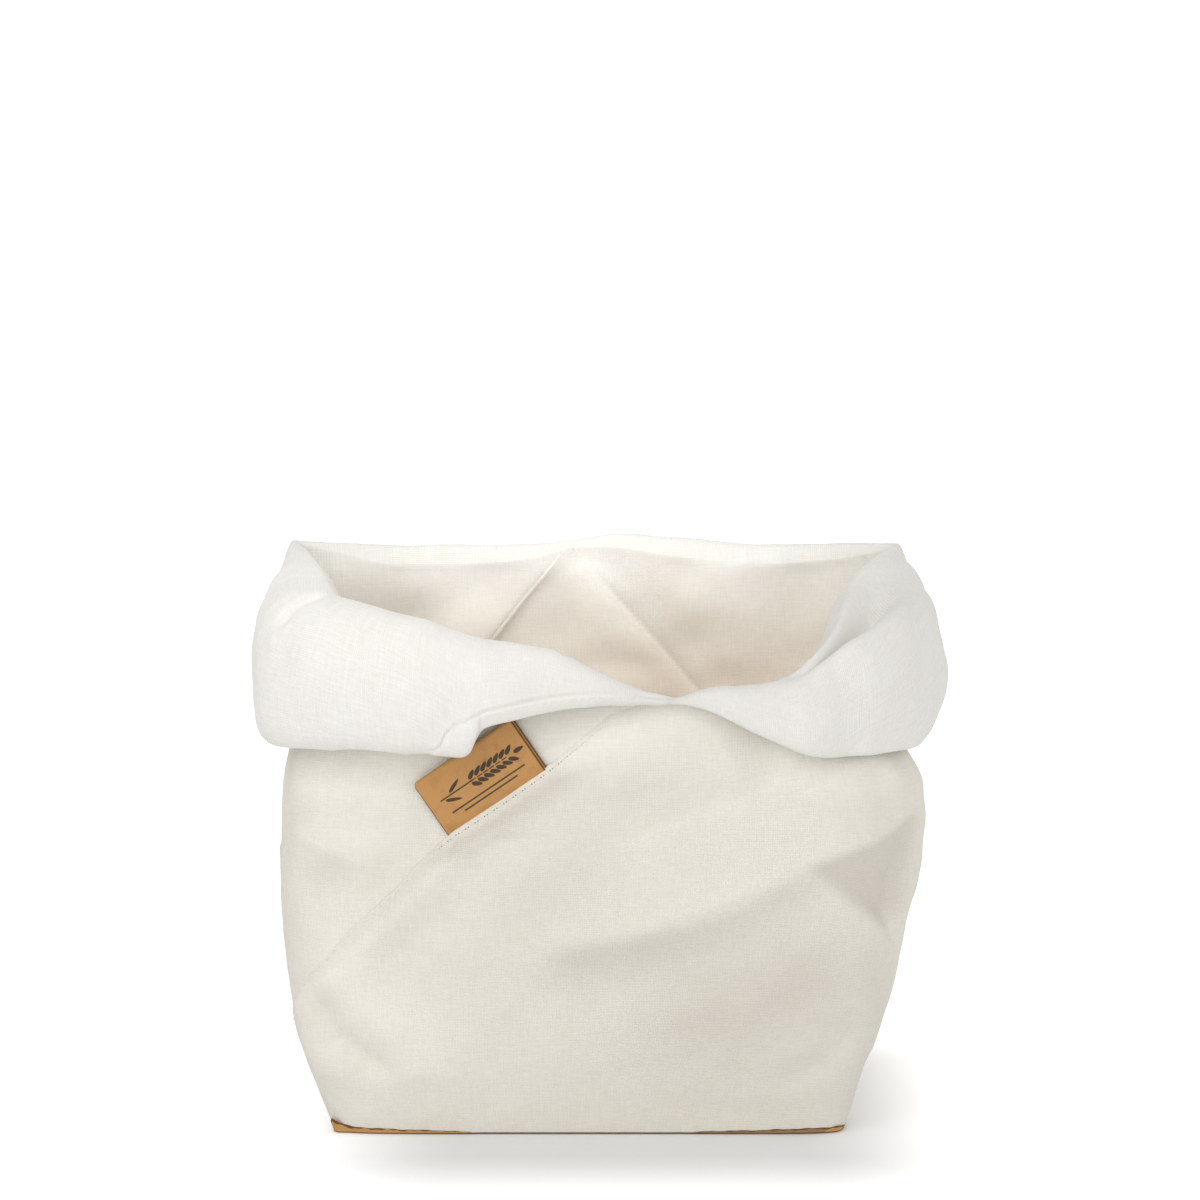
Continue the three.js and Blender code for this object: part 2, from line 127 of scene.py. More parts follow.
# place on the neck (x, y), rim (x, y, z), reach of the roll, its lower edge, softness of the rim,
# 1 where the lower edge is a hem, height of the ridge on the roll, flatness of its top, width of the hem
RIM = np.array([
    [28.5, -81, 28.5, -82, 151.0, 2.2, 149.2, 1.0, 1, 0, 0, 1.4],
    [36, -81, 36.5, -82, 153.4, 3.6, 147.8, 1.8, 0.3, 0, 0, 0.6],
    [43, -81, 43.5, -82, 154.8, 5.2, 145.4, 2.5, 0, 0, 0, 0.3],
    [53, -81, 53.3, -81, 155.2, 8.0, 140.8, 3.2, 0, 0, 0, 0.3],
    [62, -80.5, 61.5, -79.5, 155.9, 10.5, 136.3, 3.6, 0, 0, 0, 0.3],
    [70, -79.5, 67.3, -77.8, 157.6, 13.0, 133.0, 4.0, 0, 0.8, 0, 0.3],
    [80, -77.5, 74, -74, 162.0, 13.2, 130.4, 4.5, 0, 3.0, 0.2, 0.3],
    [92, -72, 80.5, -66, 167.0, 18.8, 130.0, 6.0, 0, 6.0, 0.5, 0.3],
    [107, -52, 86, -50, 172.5, 28.5, 131.5, 6.5, 0, 6.5, 0.8, 0.3],
    [113, -28, 89.5, -29, 177.3, 33.5, 132.5, 6.5, 0, 4.0, 1.0, 0.3],
    [115, 2, 94, 0, 181.0, 30.5, 133.5, 6.0, 0, 1.0, 1.0, 0.3],
    [114, 38, 102, 38, 184.3, 22.0, 133.5, 5.0, 0, 0, 1.0, 0.3],
    [111, 64, 110, 66, 187.0, 12.5, 132.0, 3.6, 0, 0, 0.8, 0.3],
    [104, 76, 115, 84, 188.0, 6.0, 134.0, 2.4, 0, 0, 0.2, 0.3],
    [90, 81, 98, 88.5, 187.7, 10.0, 135.0, 6.0, 0, 0, 0.1, 0.3],
    [66, 83.5, 67, 91, 187.2, 13.0, 140.0, 8.5, 0.3, 0, 0, 1.0],
    [50, 85.5, 50, 91.5, 188.0, 12.0, 150.0, 8.5, 0.9, 0, 0, 3.6],
    [30, 86, 30, 92, 189.8, 9.5, 165.0, 8.0, 1, 0, 0, 3.8],
    [12, 86, 11, 92, 191.2, 6.0, 178.0, 6.0, 1, 0, 0, 3.4],
    [-3, 86, -5, 92, 188.9, 2.4, 186.8, 3.6, 1, 0, 0, 1.4],
    [-18, 86, -20, 92, 187.2, 6.0, 178.0, 6.0, 0.3, 0, 0, 0.6],
    [-36, 86, -38, 92, 187.0, 9.5, 163.0, 8.0, 0, 0, 0, 0.3],
    [-54, 85, -56, 91.5, 186.8, 12.0, 148.0, 8.5, 0, 0, 0, 0.3],
    [-70, 82.5, -73, 91, 186.8, 13.0, 139.0, 8.5, 0, 0, 0, 0.3],
    [-86, 80, -91, 88.5, 187.6, 10.0, 135.0, 5.0, 0, 0, 0, 0.3],
    [-99, 74, -110.5, 84, 189.4, 6.5, 134.0, 1.8, 0, 0, 0.2, 0.3],
    [-105, 60, -107, 68, 188.6, 11.0, 132.0, 2.8, 0, 0, 0.5, 0.3],
    [-108, 33, -101.5, 35, 187.4, 15.5, 131.0, 4.2, 0, 0, 0.6, 0.3],
    [-108, 0, -96, 0, 186.3, 20.0, 134.0, 5.0, 0, 0, 0.7, 0.3],
    [-106, -32, -91, -38, 185.0, 25.0, 135.2, 5.5, 0, 0, 0.7, 0.3],
    [-97, -60, -86, -62, 183.2, 26.0, 134.0, 5.5, 0, 0, 0.5, 0.3],
    [-80, -74, -76.5, -71.5, 181.6, 23.0, 133.4, 5.0, 0, 0, 0.4, 0.3],
    [-63, -79, -62, -77.5, 178.4, 19.5, 133.5, 4.6, 0, 0, 0.3, 0.3],
    [-54, -80, -53, -79.8, 176.3, 17.4, 133.4, 4.4, 0, 0, 0.3, 0.3],
    [-47.5, -80.2, -47, -80.8, 174.2, 16.4, 133.2, 4.2, 0.1, 0, 0.3, 3.6],
    [-45, -80.4, -44.5, -81, 173.3, 15.9, 132.8, 4.2, 0.2, 0, 0.3, 9.0],
    [-41, -80.6, -40.5, -81.5, 172.0, 15.3, 132.6, 4.0, 0.4, 0, 0.2, 12.0],
    [-38.3, -80.7, -38, -81.7, 171.2, 14.9, 134.0, 3.9, 0.6, 0, 0.2, 11.5],
    [-36.6, -80.8, -36.2, -81.9, 170.7, 14.4, 138.5, 3.8, 0.9, 0, 0.2, 8.0],
    [-35, -81, -34.5, -82, 170.3, 14.0, 142.0, 3.7, 1, 0, 0.2, 5.4],
    [-31.8, -81, -31.3, -82, 169.9, 13.4, 143.8, 3.6, 1, 0, 0.2, 4.8],
    [-27, -81, -26.8, -82.2, 169.4, 12.2, 145.2, 3.5, 1, 0, 0.2, 4.5],
    [-14, -81, -14.5, -82.5, 167.6, 9.0, 147.4, 3.0, 1, 0, 0.1, 4.2],
    [7, -81, 6.5, -82.5, 158.3, 5.5, 149.6, 2.0, 1, 0, 0, 3.4],
    [20, -81, 21, -82, 152.6, 3.0, 149.3, 1.3, 1, 0, 0, 2.2],
])
FRONT_SEAM = [
    (28.5, 151.0), (17, 149.0), (7, 145.0), (-2.9, 136.9), (-12.9, 128.9), (-29.5, 116.8), (-47.2, 105.0),
    (-58, 94.9), (-64.7, 87.4), (-71.5, 81.1), (-80, 73.2), (-89, 62.7),
]
SEAM_FALL, BACK_TOP_X, BACK_SEAM_FALL, BACK_SEAM_TOP = 0.9, -5, 1.15, 187
INNER_FALL = 1.15          # fall of the hidden inner edges of the laps
LEAN_START = 116.0
WALL_LOW = 1.7
CLOTH = 0.5


def smooth(t):
    t = np.clip(t, 0, 1)
    return t * t * (3 - 2 * t)


def ring_numbers(z):
    """Half width, centre, front, back and squareness at heights z."""
    zs = WALL_RINGS[:, 0]
    slopes = np.empty((len(zs), 5))
    v = WALL_RINGS[:, 1:]
    slopes[1:-1] = (v[2:] - v[:-2]) / (zs[2:] - zs[:-2])[:, None]
    slopes[0] = (v[1] - v[0]) / (zs[1] - zs[0])
    slopes[-1] = (v[-1] - v[-2]) / (zs[-1] - zs[-2])
    i = np.clip(np.searchsorted(zs, z, side="right") - 1, 0, len(zs) - 2)
    h = (zs[i + 1] - zs[i])[:, None]
    t = np.clip((z - zs[i])[:, None] / h, 0, 1)
    return ((2 * t**3 - 3 * t**2 + 1) * v[i] + (t**3 - 2 * t**2 + t) * h * slopes[i]
            + (-2 * t**3 + 3 * t**2) * v[i + 1] + (t**3 - t**2) * h * slopes[i + 1])


Z_LEVELS = np.arange(0, 206, 1.0)
RING_N = 2048
_rx, _ry, RING_LEN = [], [], []
for a_, c_, f_, b_, n_ in ring_numbers(Z_LEVELS):
    psi = -math.pi / 2 + 2 * math.pi * np.arange(5761) / 5760
    c, s = np.cos(psi), np.sin(psi)
    c[np.abs(c) < 1e-9] = 0
    x = c_ + a_ * np.sign(c) * np.abs(c) ** (2 / n_)
    y = np.where(s < 0, f_, b_) * np.sign(s) * np.abs(s) ** (2 / n_)
    run = np.concatenate([[0], np.cumsum(np.hypot(np.diff(x), np.diff(y)))])
    want = run[-1] * np.arange(RING_N) / RING_N
    _rx.append(np.interp(want, run, x))
    _ry.append(np.interp(want, run, y))
    RING_LEN.append(run[-1])
RING_X, RING_Y, RING_LEN = np.array(_rx), np.array(_ry), np.array(RING_LEN)


def on_ring(tau, z):
    """Points of the plain ring at height z, tau once round from the middle of the front to the right."""
    u = (np.asarray(tau, float) % 1.0) * RING_N
    i = np.floor(u).astype(int) % RING_N
    fu = u - np.floor(u)
    zz = np.clip(z, 0, Z_LEVELS[-1] - 1e-6)
    k = np.floor(zz).astype(int)
    fz = zz - k
    j = (i + 1) % RING_N

    def pick(a):
        lo = a[k, i] * (1 - fu) + a[k, j] * fu
        hi = a[k + 1, i] * (1 - fu) + a[k + 1, j] * fu
        return lo * (1 - fz) + hi * fz

    return pick(RING_X), pick(RING_Y)


def ring_len(z):
    return np.interp(z, Z_LEVELS, RING_LEN)


def tau_near(z, x, y):
    k = int(round(z))
    return int(np.argmin(np.hypot(RING_X[k] - x, RING_Y[k] - y))) / RING_N


def signed(t):
    return t - 1 if t > 0.5 else t


class Periodic:
    """Smooth curve through values at places once round, with no overshoot."""

    def __init__(self, t, v):
        order = np.argsort(t)
        t, v = np.asarray(t, float)[order], np.asarray(v, float)[order]
        self.t = np.concatenate([t[-3:] - 1, t, t[:3] + 1])
        self.v = np.concatenate([v[-3:], v, v[:3]])
        h = np.diff(self.t)
        d = np.diff(self.v) / h
        m = np.zeros_like(self.t)
        same = d[:-1] * d[1:] > 0
        w1, w2 = 2 * h[1:] + h[:-1], h[1:] + 2 * h[:-1]
        with np.errstate(divide="ignore", invalid="ignore"):
            m[1:-1] = np.where(same, (w1 + w2) / (w1 / d[:-1] + w2 / d[1:]), 0)
        self.m = m

    def __call__(self, tau):
        t = np.asarray(tau, float) % 1.0
        i = np.clip(np.searchsorted(self.t, t, side="right") - 1, 0, len(self.t) - 2)
        h = self.t[i + 1] - self.t[i]
        u = (t - self.t[i]) / h
        return ((2 * u**3 - 3 * u**2 + 1) * self.v[i] + (u**3 - 2 * u**2 + u) * h * self.m[i]
                + (-2 * u**3 + 3 * u**2) * self.v[i + 1] + (u**3 - u**2) * h * self.m[i + 1])


RIM_TAU = np.array([tau_near(120, r[0], r[1]) for r in RIM])
(rim_x, rim_y, rim_z, roll_w, roll_low, rim_soft, hem_part,
 roll_ridge, roll_flat, hem_width) = (Periodic(RIM_TAU, RIM[:, k]) for k in range(2, 12))


def rim_out(tau):
    """Outward direction across the rim, in plan."""
    tau = np.asarray(tau, float)
    nx, ny = np.zeros_like(tau), np.zeros_like(tau)
    for k in range(-3, 4):
        a, b = tau + (k - 1) * 0.006, tau + (k + 1) * 0.006
        dx, dy = rim_x(b) - rim_x(a), rim_y(b) - rim_y(a)
        size = np.hypot(dx, dy)
        nx += dy / size
        ny += -dx / size
    size = np.hypot(nx, ny)
    return nx / size, ny / size


def wall_plain(tau, z):
    """Outer face of the wall before folds."""
    tau, z = np.broadcast_arrays(np.asarray(tau, float), np.asarray(z, float))
    x, y = on_ring(tau, z)
    nx, ny = rim_out(tau)
    soft = rim_soft(tau)
    top = rim_z(tau) - soft
    s = smooth((z - LEAN_START) / (top - LEAN_START))
    tx, ty = rim_x(tau) - nx * soft, rim_y(tau) - ny * soft
    return np.stack([x + (tx - x) * s, y + (ty - y) * s, z], -1)


# ------------------------------------------------------------------ seams
def front_tau(x, z):
    zz = min(z, 120)
    k = int(round(zz))
    front = RING_Y[k] < -0.3 * 70
    i = np.where(front, np.abs(RING_X[k] - x), 1e9).argmin()
    return signed(i / RING_N)


_st = np.array([front_tau(x, z) for x, z in FRONT_SEAM])
_sz = np.array([z for x, z in FRONT_SEAM])
TAU_DIP = float(_st[0])
TAU_BACK = tau_near(120, BACK_TOP_X, 84.5)


def front_seam(z):
    z = np.asarray(z, float)
    t = np.interp(z, _sz[::-1], _st[::-1])
    low = _st[-1] - (_sz[-1] - z) / SEAM_FALL / RING_LEN[40]
    return np.where(z < _sz[-1], low, t)


def back_seam(z):
    return TAU_BACK - np.maximum(0, BACK_SEAM_TOP - np.asarray(z, float)) / BACK_SEAM_FALL / RING_LEN[80]


def front_inner(z):
    """Edge of the left panel inside the front, under the right panel."""
    return TAU_DIP + np.maximum(0, 151 - np.asarray(z, float)) / 1.3 / RING_LEN[80]


def back_inner(z):
    """Edge of the right panel inside the back, under the left panel."""
    return TAU_BACK + np.maximum(0, 189 - np.asarray(z, float)) / INNER_FALL / RING_LEN[80]


def wall_high(tau):
    return rim_z(tau) - rim_soft(tau) * 0.75 - 0.4


def row_height(tau, v):
    return WALL_LOW + v * (wall_high(tau) - WALL_LOW)


def on_row(line, v, first):
    """Where a seam line crosses each row."""
    out, last = [], first
    for one in v:
        t = np.linspace(last - 0.25, last + 0.25, 6001)
        g = line(row_height(t, one)) - t
        hit = np.nonzero((g[:-1] >= 0) & (g[1:] < 0))[0]
        k = hit[np.argmin(np.abs(t[hit] - last))]
        last = t[k] + (t[k + 1] - t[k]) * g[k] / (g[k] - g[k + 1])
        out.append(last)
    return np.array(out)


# ------------------------------------------------------------------ folds and creases
def waves(p, length, count, seed, flat=1.0):
    """Band of smooth noise in space, about -1 to 1. p is (..., 3) in mm."""
    r = np.random.default_rng(seed)
    out = np.zeros(p.shape[:-1])
    for _ in range(count):
        d = r.normal(size=3)
        d[2] *= flat
        d /= np.linalg.norm(d)
        k = 2 * math.pi / (length * r.uniform(0.7, 1.45))
        out += np.cos((p @ d) * k + r.uniform(0, 2 * math.pi))
    return out / math.sqrt(count / 2) / 1.6


def seg_dist(s, z, a, b):
    """Distance to a line from a to b and how far along it, for points (s, z)."""
    ax, az = a
    dx, dz = b[0] - ax, b[1] - az
    t = np.clip(((s - ax) * dx + (z - az) * dz) / (dx * dx + dz * dz), 0, 1)
    return np.hypot(s - ax - t * dx, z - az - t * dz), t


def crease(s, z, line, width, fade=0.25):
    """1 on a line of points, falling off over width, and fading towards its ends."""
    best = np.zeros_like(s)
    total = sum(math.dist(line[i], line[i + 1]) for i in range(len(line) - 1))
    run = 0.0
    for i in range(len(line) - 1):
        d, t = seg_dist(s, z, line[i], line[i + 1])
        size = math.dist(line[i], line[i + 1])
        along = (run + t * size) / total
        edge = smooth(along / fade) * smooth((1 - along) / fade)
        best = np.maximum(best, np.exp(-(d / width) ** 2) * edge)
        run += size
    return best


def blob(s, z, centre, size, turn=0.0):
    c, n = math.cos(math.radians(turn)), math.sin(math.radians(turn))
    ds, dz = s - centre[0], z - centre[1]
    a, b = (ds * c + dz * n) / size[0], (-ds * n + dz * c) / size[1]
    return np.exp(-(a * a + b * b))


def ridge(s, z, line, above, below, edge=2.0, fade=0.25):
    """1 on a line of points, falling off over the distances above and below it, with a rounded crest."""
    near = np.full(s.shape, 1e9)
    best = np.zeros_like(s)
    total = sum(math.dist(line[i], line[i + 1]) for i in range(len(line) - 1))
    run = 0.0
    for i in range(len(line) - 1):
        a, b = line[i], line[i + 1]
        d, t = seg_dist(s, z, a, b)
        size = math.dist(a, b)
        side = (b[0] - a[0]) * (z - a[1]) - (b[1] - a[1]) * (s - a[0])
        along = (run + t * size) / total
        part = smooth(along / fade) * smooth((1 - along) / fade)
        value = np.exp(-(np.sqrt(d * d + edge * edge) - edge) / np.where(side > 0, above, below)) * part
        best = np.where(d < near, value, best)
        near = np.minimum(near, d)
        run += size
    return best


def saw(d, before, after, edge=0.6):
    """1 at d = 0, with a long rise before it and a short fall after it."""
    return np.where(d < 0, np.exp(-(d / before) ** 2), np.exp(-(np.sqrt(d * d + edge * edge) - edge) / after))


def wall_folds(tau, z, p):
    """How far the wall stands out from its plain shape, in mm."""
    t = np.where(tau % 1.0 > 0.5, tau % 1.0 - 1, tau % 1.0)
    s = t * np.interp(z, Z_LEVELS, RING_LEN) + 3.0
    out = np.zeros_like(s)
    body = smooth((z - 4) / 22) * smooth((150 - z) / 30)
    # front: a long soft ridge with a hollow above it
    out += 7.4 * ridge(s, z, [(-30, 62), (-4, 71), (17, 74.5), (36.5, 80.5), (50.5, 86), (65, 93), (81, 99.5), (112, 108)], 16, 8.0, 4.5, 0.22)
    out -= 6.6 * ridge(s, z, [(-14, 92), (17, 105), (43, 115), (68, 122)], 8.5, 14, 4.0, 0.35)
    out -= 2.6 * blob(s, z, (16, 58), (40, 13), 14)
    out += 2.6 * ridge(s, z, [(33, 152), (39, 140), (54, 117)], 4, 5, 1.0, 0.35)
    out -= 3.6 * blob(s, z, (62, 124), (7, 9), -40)
    out += 1.2 * ridge(s, z, [(70, 109), (84, 117), (98, 124)], 5, 6, 1.5, 0.35)
    # front: the flat facet at the right corner
    below_top = 0.293 * (s - 66) - 0.956 * (z - 95)
    right_of = 0.593 * (s - 66) + 0.805 * (z - 95)
    out -= np.clip(0.30 * below_top, 0, 6.5) * smooth(right_of / 10) * smooth((124 - s) / 16) * smooth((s - 62) / 12)
    # front: left side and lower corners
    out += 3.2 * ridge(s, z, [(-112, 107), (-99, 103), (-79, 96), (-64, 98)], 6, 5, 1.2, 0.3)
    out -= 3.8 * blob(s, z, (-88, 89), (10, 8), 30)
    out -= 5.0 * ridge(s, z, [(-99, 56), (-92, 47), (-83, 35), (-58, 19)], 6, 5, 1.6, 0.3)
    out += 2.6 * ridge(s, z, [(-88, 60), (-75, 45), (-54, 31)], 8, 6, 2.5, 0.35)
    out += 2.2 * blob(s, z, (-84, 23), (9, 7), -35)
    out += 3.6 * blob(s, z, (-60, 28), (20, 12), -30)
    out -= 2.6 * ridge(s, z, [(100, 44), (82, 26), (64, 14)], 7, 7, 3.0, 0.3)
    # the lap of the front seam stands out on its right and the cloth dips on its left
    lap = across(front_seam, t, z)
    on_lap = smooth((z - 36) / 22) * smooth((126 - z) / 22)
    out += on_lap * (3.2 * np.exp(-((lap - 7.5) / 7) ** 2) - 2.4 * np.where(lap < 0, np.exp(-(lap / 10) ** 2), np.exp(-(lap / 3.5) ** 2)))
    # sides and back
    side = smooth((np.abs(s) - 92) / 26) * smooth((236 - np.abs(s)) / 26)
    out = np.where(out > 0, out * (1 - 0.85 * side), out)
    out -= 1.6 * side
    out -= 2.8 * blob(s, z, (-166, 114), (26, 18), 15)
    out -= 2.8 * blob(s, z, (-182, 60), (36, 15), -12)
    out -= 1.8 * ridge(s, z, [(-128, 52), (-150, 84), (-146, 112)], 8, 8, 2.0, 0.3)
    out -= 2.8 * blob(s, z, (172, 114), (24, 14), -20)
    out -= 2.6 * blob(s, z, (170, 56), (34, 14), 14)
    out -= 1.8 * ridge(s, z, [(132, 56), (146, 84), (144, 112)], 8, 8, 2.0, 0.3)
    out += 2.6 * ridge(s, z, [(122, 62), (158, 84), (200, 96), (232, 92)], 13, 8, 2.2, 0.3)
    out -= 2.2 * ridge(s, z, [(136, 100), (168, 114), (206, 112)], 9, 13, 3.0, 0.35)
    out += 1.8 * ridge(s, z, [(150, 30), (180, 44), (216, 46)], 10, 7, 2.0, 0.35)
    out += 2.4 * ridge(s, z, [(-126, 70), (-156, 90), (-196, 84), (-226, 70)], 13, 8, 2.2, 0.3)
    out -= 2.2 * ridge(s, z, [(-140, 112), (-170, 106), (-210, 108)], 9, 13, 3.0, 0.35)
    out += 1.8 * ridge(s, z, [(-160, 26), (-190, 42), (-222, 40)], 10, 7, 2.0, 0.35)
    for sign in (1, -1):
        out -= 2.4 * ridge(s, z, [(sign * 130, 48), (sign * 148, 32), (sign * 166, 18)], 7, 7, 2.0, 0.3)
        out += 3.4 * ridge(s, z, [(sign * 236, 60), (sign * 264, 84), (sign * 300, 92)], 12, 12, 2.5, 0.3)
        out -= 3.8 * blob(s, z, (sign * 278, 118), (26, 14), sign * 18)
        out -= 3.2 * blob(s, z, (sign * 268, 56), (36, 14), -sign * 12)
    # back: a long soft ridge low on the wall, and a fold at its lower corner
    b = (tau % 1.0 - 0.5) * np.interp(z, Z_LEVELS, RING_LEN)
    rear = 5.2 * ridge(b, z, [(-40, 50), (-10, 58), (18, 65), (46, 75), (74, 84), (104, 90)], 16, 8, 4.5, 0.25)
    rear -= 2.4 * blob(b, z, (12, 42), (42, 13), 12)
    rear -= 3.6 * ridge(b, z, [(-98, 56), (-86, 38), (-58, 21)], 6, 5, 1.8, 0.3)
    rear += 2.2 * blob(b, z, (-56, 32), (20, 12), -30)
    out += rear * smooth((104 - z) / 16)
    out = out * body
    # inside the back: the edge of the lap and the crease beside it stand out to the inside
    turn = tau % 1.0
    d_edge, d_crease = -across(back_inner, turn, z), -across(back_seam, turn, z)
    far = smooth((186 - z) / 12) * smooth((z - 90) / 36)
    out -= far * 2.2 * saw(d_edge, 13, 2.6)
    out -= far * (2.6 * saw(d_crease, 11, 3.0, 1.0) - 1.6 * np.exp(-((d_crease - 8) / 8) ** 2))
    up = smooth((z - 132) / 14) * smooth((np.abs(s) - 190) / 40) * smooth((186 - z) / 10)
    out += up * (1.3 * waves(p, 46, 18, 31) + 0.5 * waves(p, 22, 20, 32))
    out += 0.9 * body * waves(p, 60, 18, 5)
    ridged = 1 - np.abs(waves(p, 44, 16, 11))
    out += 0.7 * body * np.clip(ridged, -0.5, 1) * smooth(0.5 + 0.8 * waves(p, 80, 10, 3))
    out += 0.13 * smooth((z - 2) / 6) * smooth((150 - z) / 20) * waves(p, 13, 26, 8)
    # the cloth lies flat behind the label
    la, lu = label_place(s, z)
    flat = smooth((la + 27) / 6) * smooth((26 - la) / 5) * smooth((lu + 9) / 6) * smooth((26 - lu) / 7)
    return out * (1 - flat) - 0.2 * flat * smooth(lu / 2)


def weave_and_painted_shade(tau, z):
    """Where the weave is more open and the cloth is darkened, from -0.8 to 1.15. It is partly open weave and partly
    painted light: positive patches are painted shade on the facet at the right corner, under the long front ridge and
    low on the right, and negative patches are painted light where shadow falls under the hem and the cuffs.
    """
    t = np.where(tau % 1.0 > 0.5, tau % 1.0 - 1, tau % 1.0)
    s = t * ring_len(z) + 3.0
    below_top = 0.293 * (s - 66) - 0.956 * (z - 95)
    right_of = 0.593 * (s - 66) + 0.805 * (z - 95)
    # painted shade: the facet at the right corner of the front
    out = 1.0 * smooth(below_top / 4) * smooth(right_of / 6) * smooth((126 - s) / 12) * smooth((42 - below_top) / 14)
    # painted shade under the crest of the long front ridge
    crest = np.interp(s, [-30, -4, 17, 36.5, 50.5, 65, 81, 112], [62, 71, 74.5, 80.5, 86, 93, 99.5, 108])
    under = crest - z
    out += 0.85 * smooth(under / 11 + 0.15) * np.exp(-np.clip(under, 0, None) / 19) * smooth((s + 16) / 16) * smooth((84 - s) / 20)
    # painted shade low on the right of the front
    out += 0.42 * smooth((s - 6) / 40) * smooth((122 - s) / 20) * smooth((74 - z) / 25) * smooth((z - 2) / 12)
    out += 0.45 * blob(s, z, (10, 119), (17, 6), 12)
    lap = across(front_seam, t, z)
    # along the lap below the label the weave is more open
    out += 0.95 * np.exp(-((lap - 6.5) / 4.5) ** 2) * smooth((z - 93) / 8) * smooth((130 - z) / 8)
    out += 0.35 * blob(s, z, (-90, 91), (9, 6), 20) + 0.2 * blob(s, z, (-86, 38), (11, 6), -45)
    out -= 0.55 * blob(s, z, (-62, 32), (26, 22), -30) + 0.4 * blob(s, z, (-80, 104), (18, 7), 0)
    out += 0.7 * blob(s, z, (74, 58), (22, 16), 20) + 0.45 * blob(s, z, (36, 40), (24, 9), 10) + 0.45 * blob(s, z, (-16, 88), (26, 14), 30)
    # painted light: the shadow under the hem and under both cuffs is lightened
    out -= 0.4 * blob(s, z, (-84, 58), (14, 26), 0) + 0.6 * blob(s, z, (2, 136), (30, 7), 10)
    out -= 0.6 * smooth((z - 108) / 14) * smooth((-46 - s) / 10) * smooth((s + 114) / 12)
    out -= 0.5 * smooth((z - 112) / 12) * smooth((s - 52) / 12) * smooth((114 - s) / 12)
    side = smooth((np.abs(s) - 130) / 20)
    return np.clip(out, -0.8, 1.15) * (1 - side) + 0.3 * side


LABEL_MIDDLE = np.array([-30.532, -82.658, 116.759])
LABEL_AXIS = np.array([0.828449, 0.026169, 0.559452])
LABEL_OUT = np.array([0.021687, -0.999658, 0.014645])
LABEL_UP = np.array([-0.559644, 0.0, 0.828733])
LABEL_LONG, LABEL_TALL = 40.0, 20.4


def label_place(s, z):
    """Distance along the label and up from its seam, for places on the front of the wall."""
    ds, dz = s - LABEL_MIDDLE[0], z - LABEL_MIDDLE[2]
    return ds * LABEL_AXIS[0] + dz * LABEL_AXIS[2], ds * LABEL_UP[0] + dz * LABEL_UP[2]


# ------------------------------------------------------------------ mesh making
def grid_normals(p):
    du = np.gradient(p, axis=0)
    dv = np.gradient(p, axis=1)
    n = np.cross(du, dv)
    return n / np.maximum(1e-9, np.linalg.norm(n, axis=-1, keepdims=True))


def make_mesh(name, verts, faces, uvs=None, mats=(), mat_index=None, smooth_shade=True):
    """verts in mm (n, 3); faces a list of arrays of equal-length rows; uvs per vertex in mm."""
    mesh = bpy.data.meshes.new(name)
    verts = np.asarray(verts, np.float32) * MM
    loops = np.concatenate([np.asarray(f).reshape(-1) for f in faces]).astype(np.int32)
    sizes = np.concatenate([np.full(len(f), np.asarray(f).shape[1]) for f in faces]).astype(np.int32)
    starts = np.concatenate([[0], np.cumsum(sizes)[:-1]]).astype(np.int32)
    mesh.vertices.add(len(verts))
    mesh.vertices.foreach_set("co", verts.reshape(-1))
    mesh.loops.add(len(loops))
    mesh.loops.foreach_set("vertex_index", loops)
    mesh.polygons.add(len(sizes))
    mesh.polygons.foreach_set("loop_start", starts)
    mesh.polygons.foreach_set("loop_total", sizes)
    if mat_index is not None:
        mesh.polygons.foreach_set("material_index", np.asarray(mat_index, np.int32))
    mesh.polygons.foreach_set("use_smooth", np.broadcast_to(np.asarray(smooth_shade, bool), len(sizes)).copy())
    mesh.update(calc_edges=True)
    if uvs is not None:
        layer = mesh.uv_layers.new(name="cloth")
        layer.data.foreach_set("uv", (np.asarray(uvs, np.float32)[loops] * MM).reshape(-1))
    mesh.validate()
    for m in mats:
        mesh.materials.append(m)
    obj = bpy.data.objects.new(name, mesh)
    scene.collection.objects.link(obj)
    return obj


def sheet_faces(rows, cols, first=0):
    a = (first + np.arange(rows - 1)[:, None] * cols + np.arange(cols - 1)[None, :]).reshape(-1)
    return np.stack([a, a + cols, a + cols + 1, a + 1], -1)


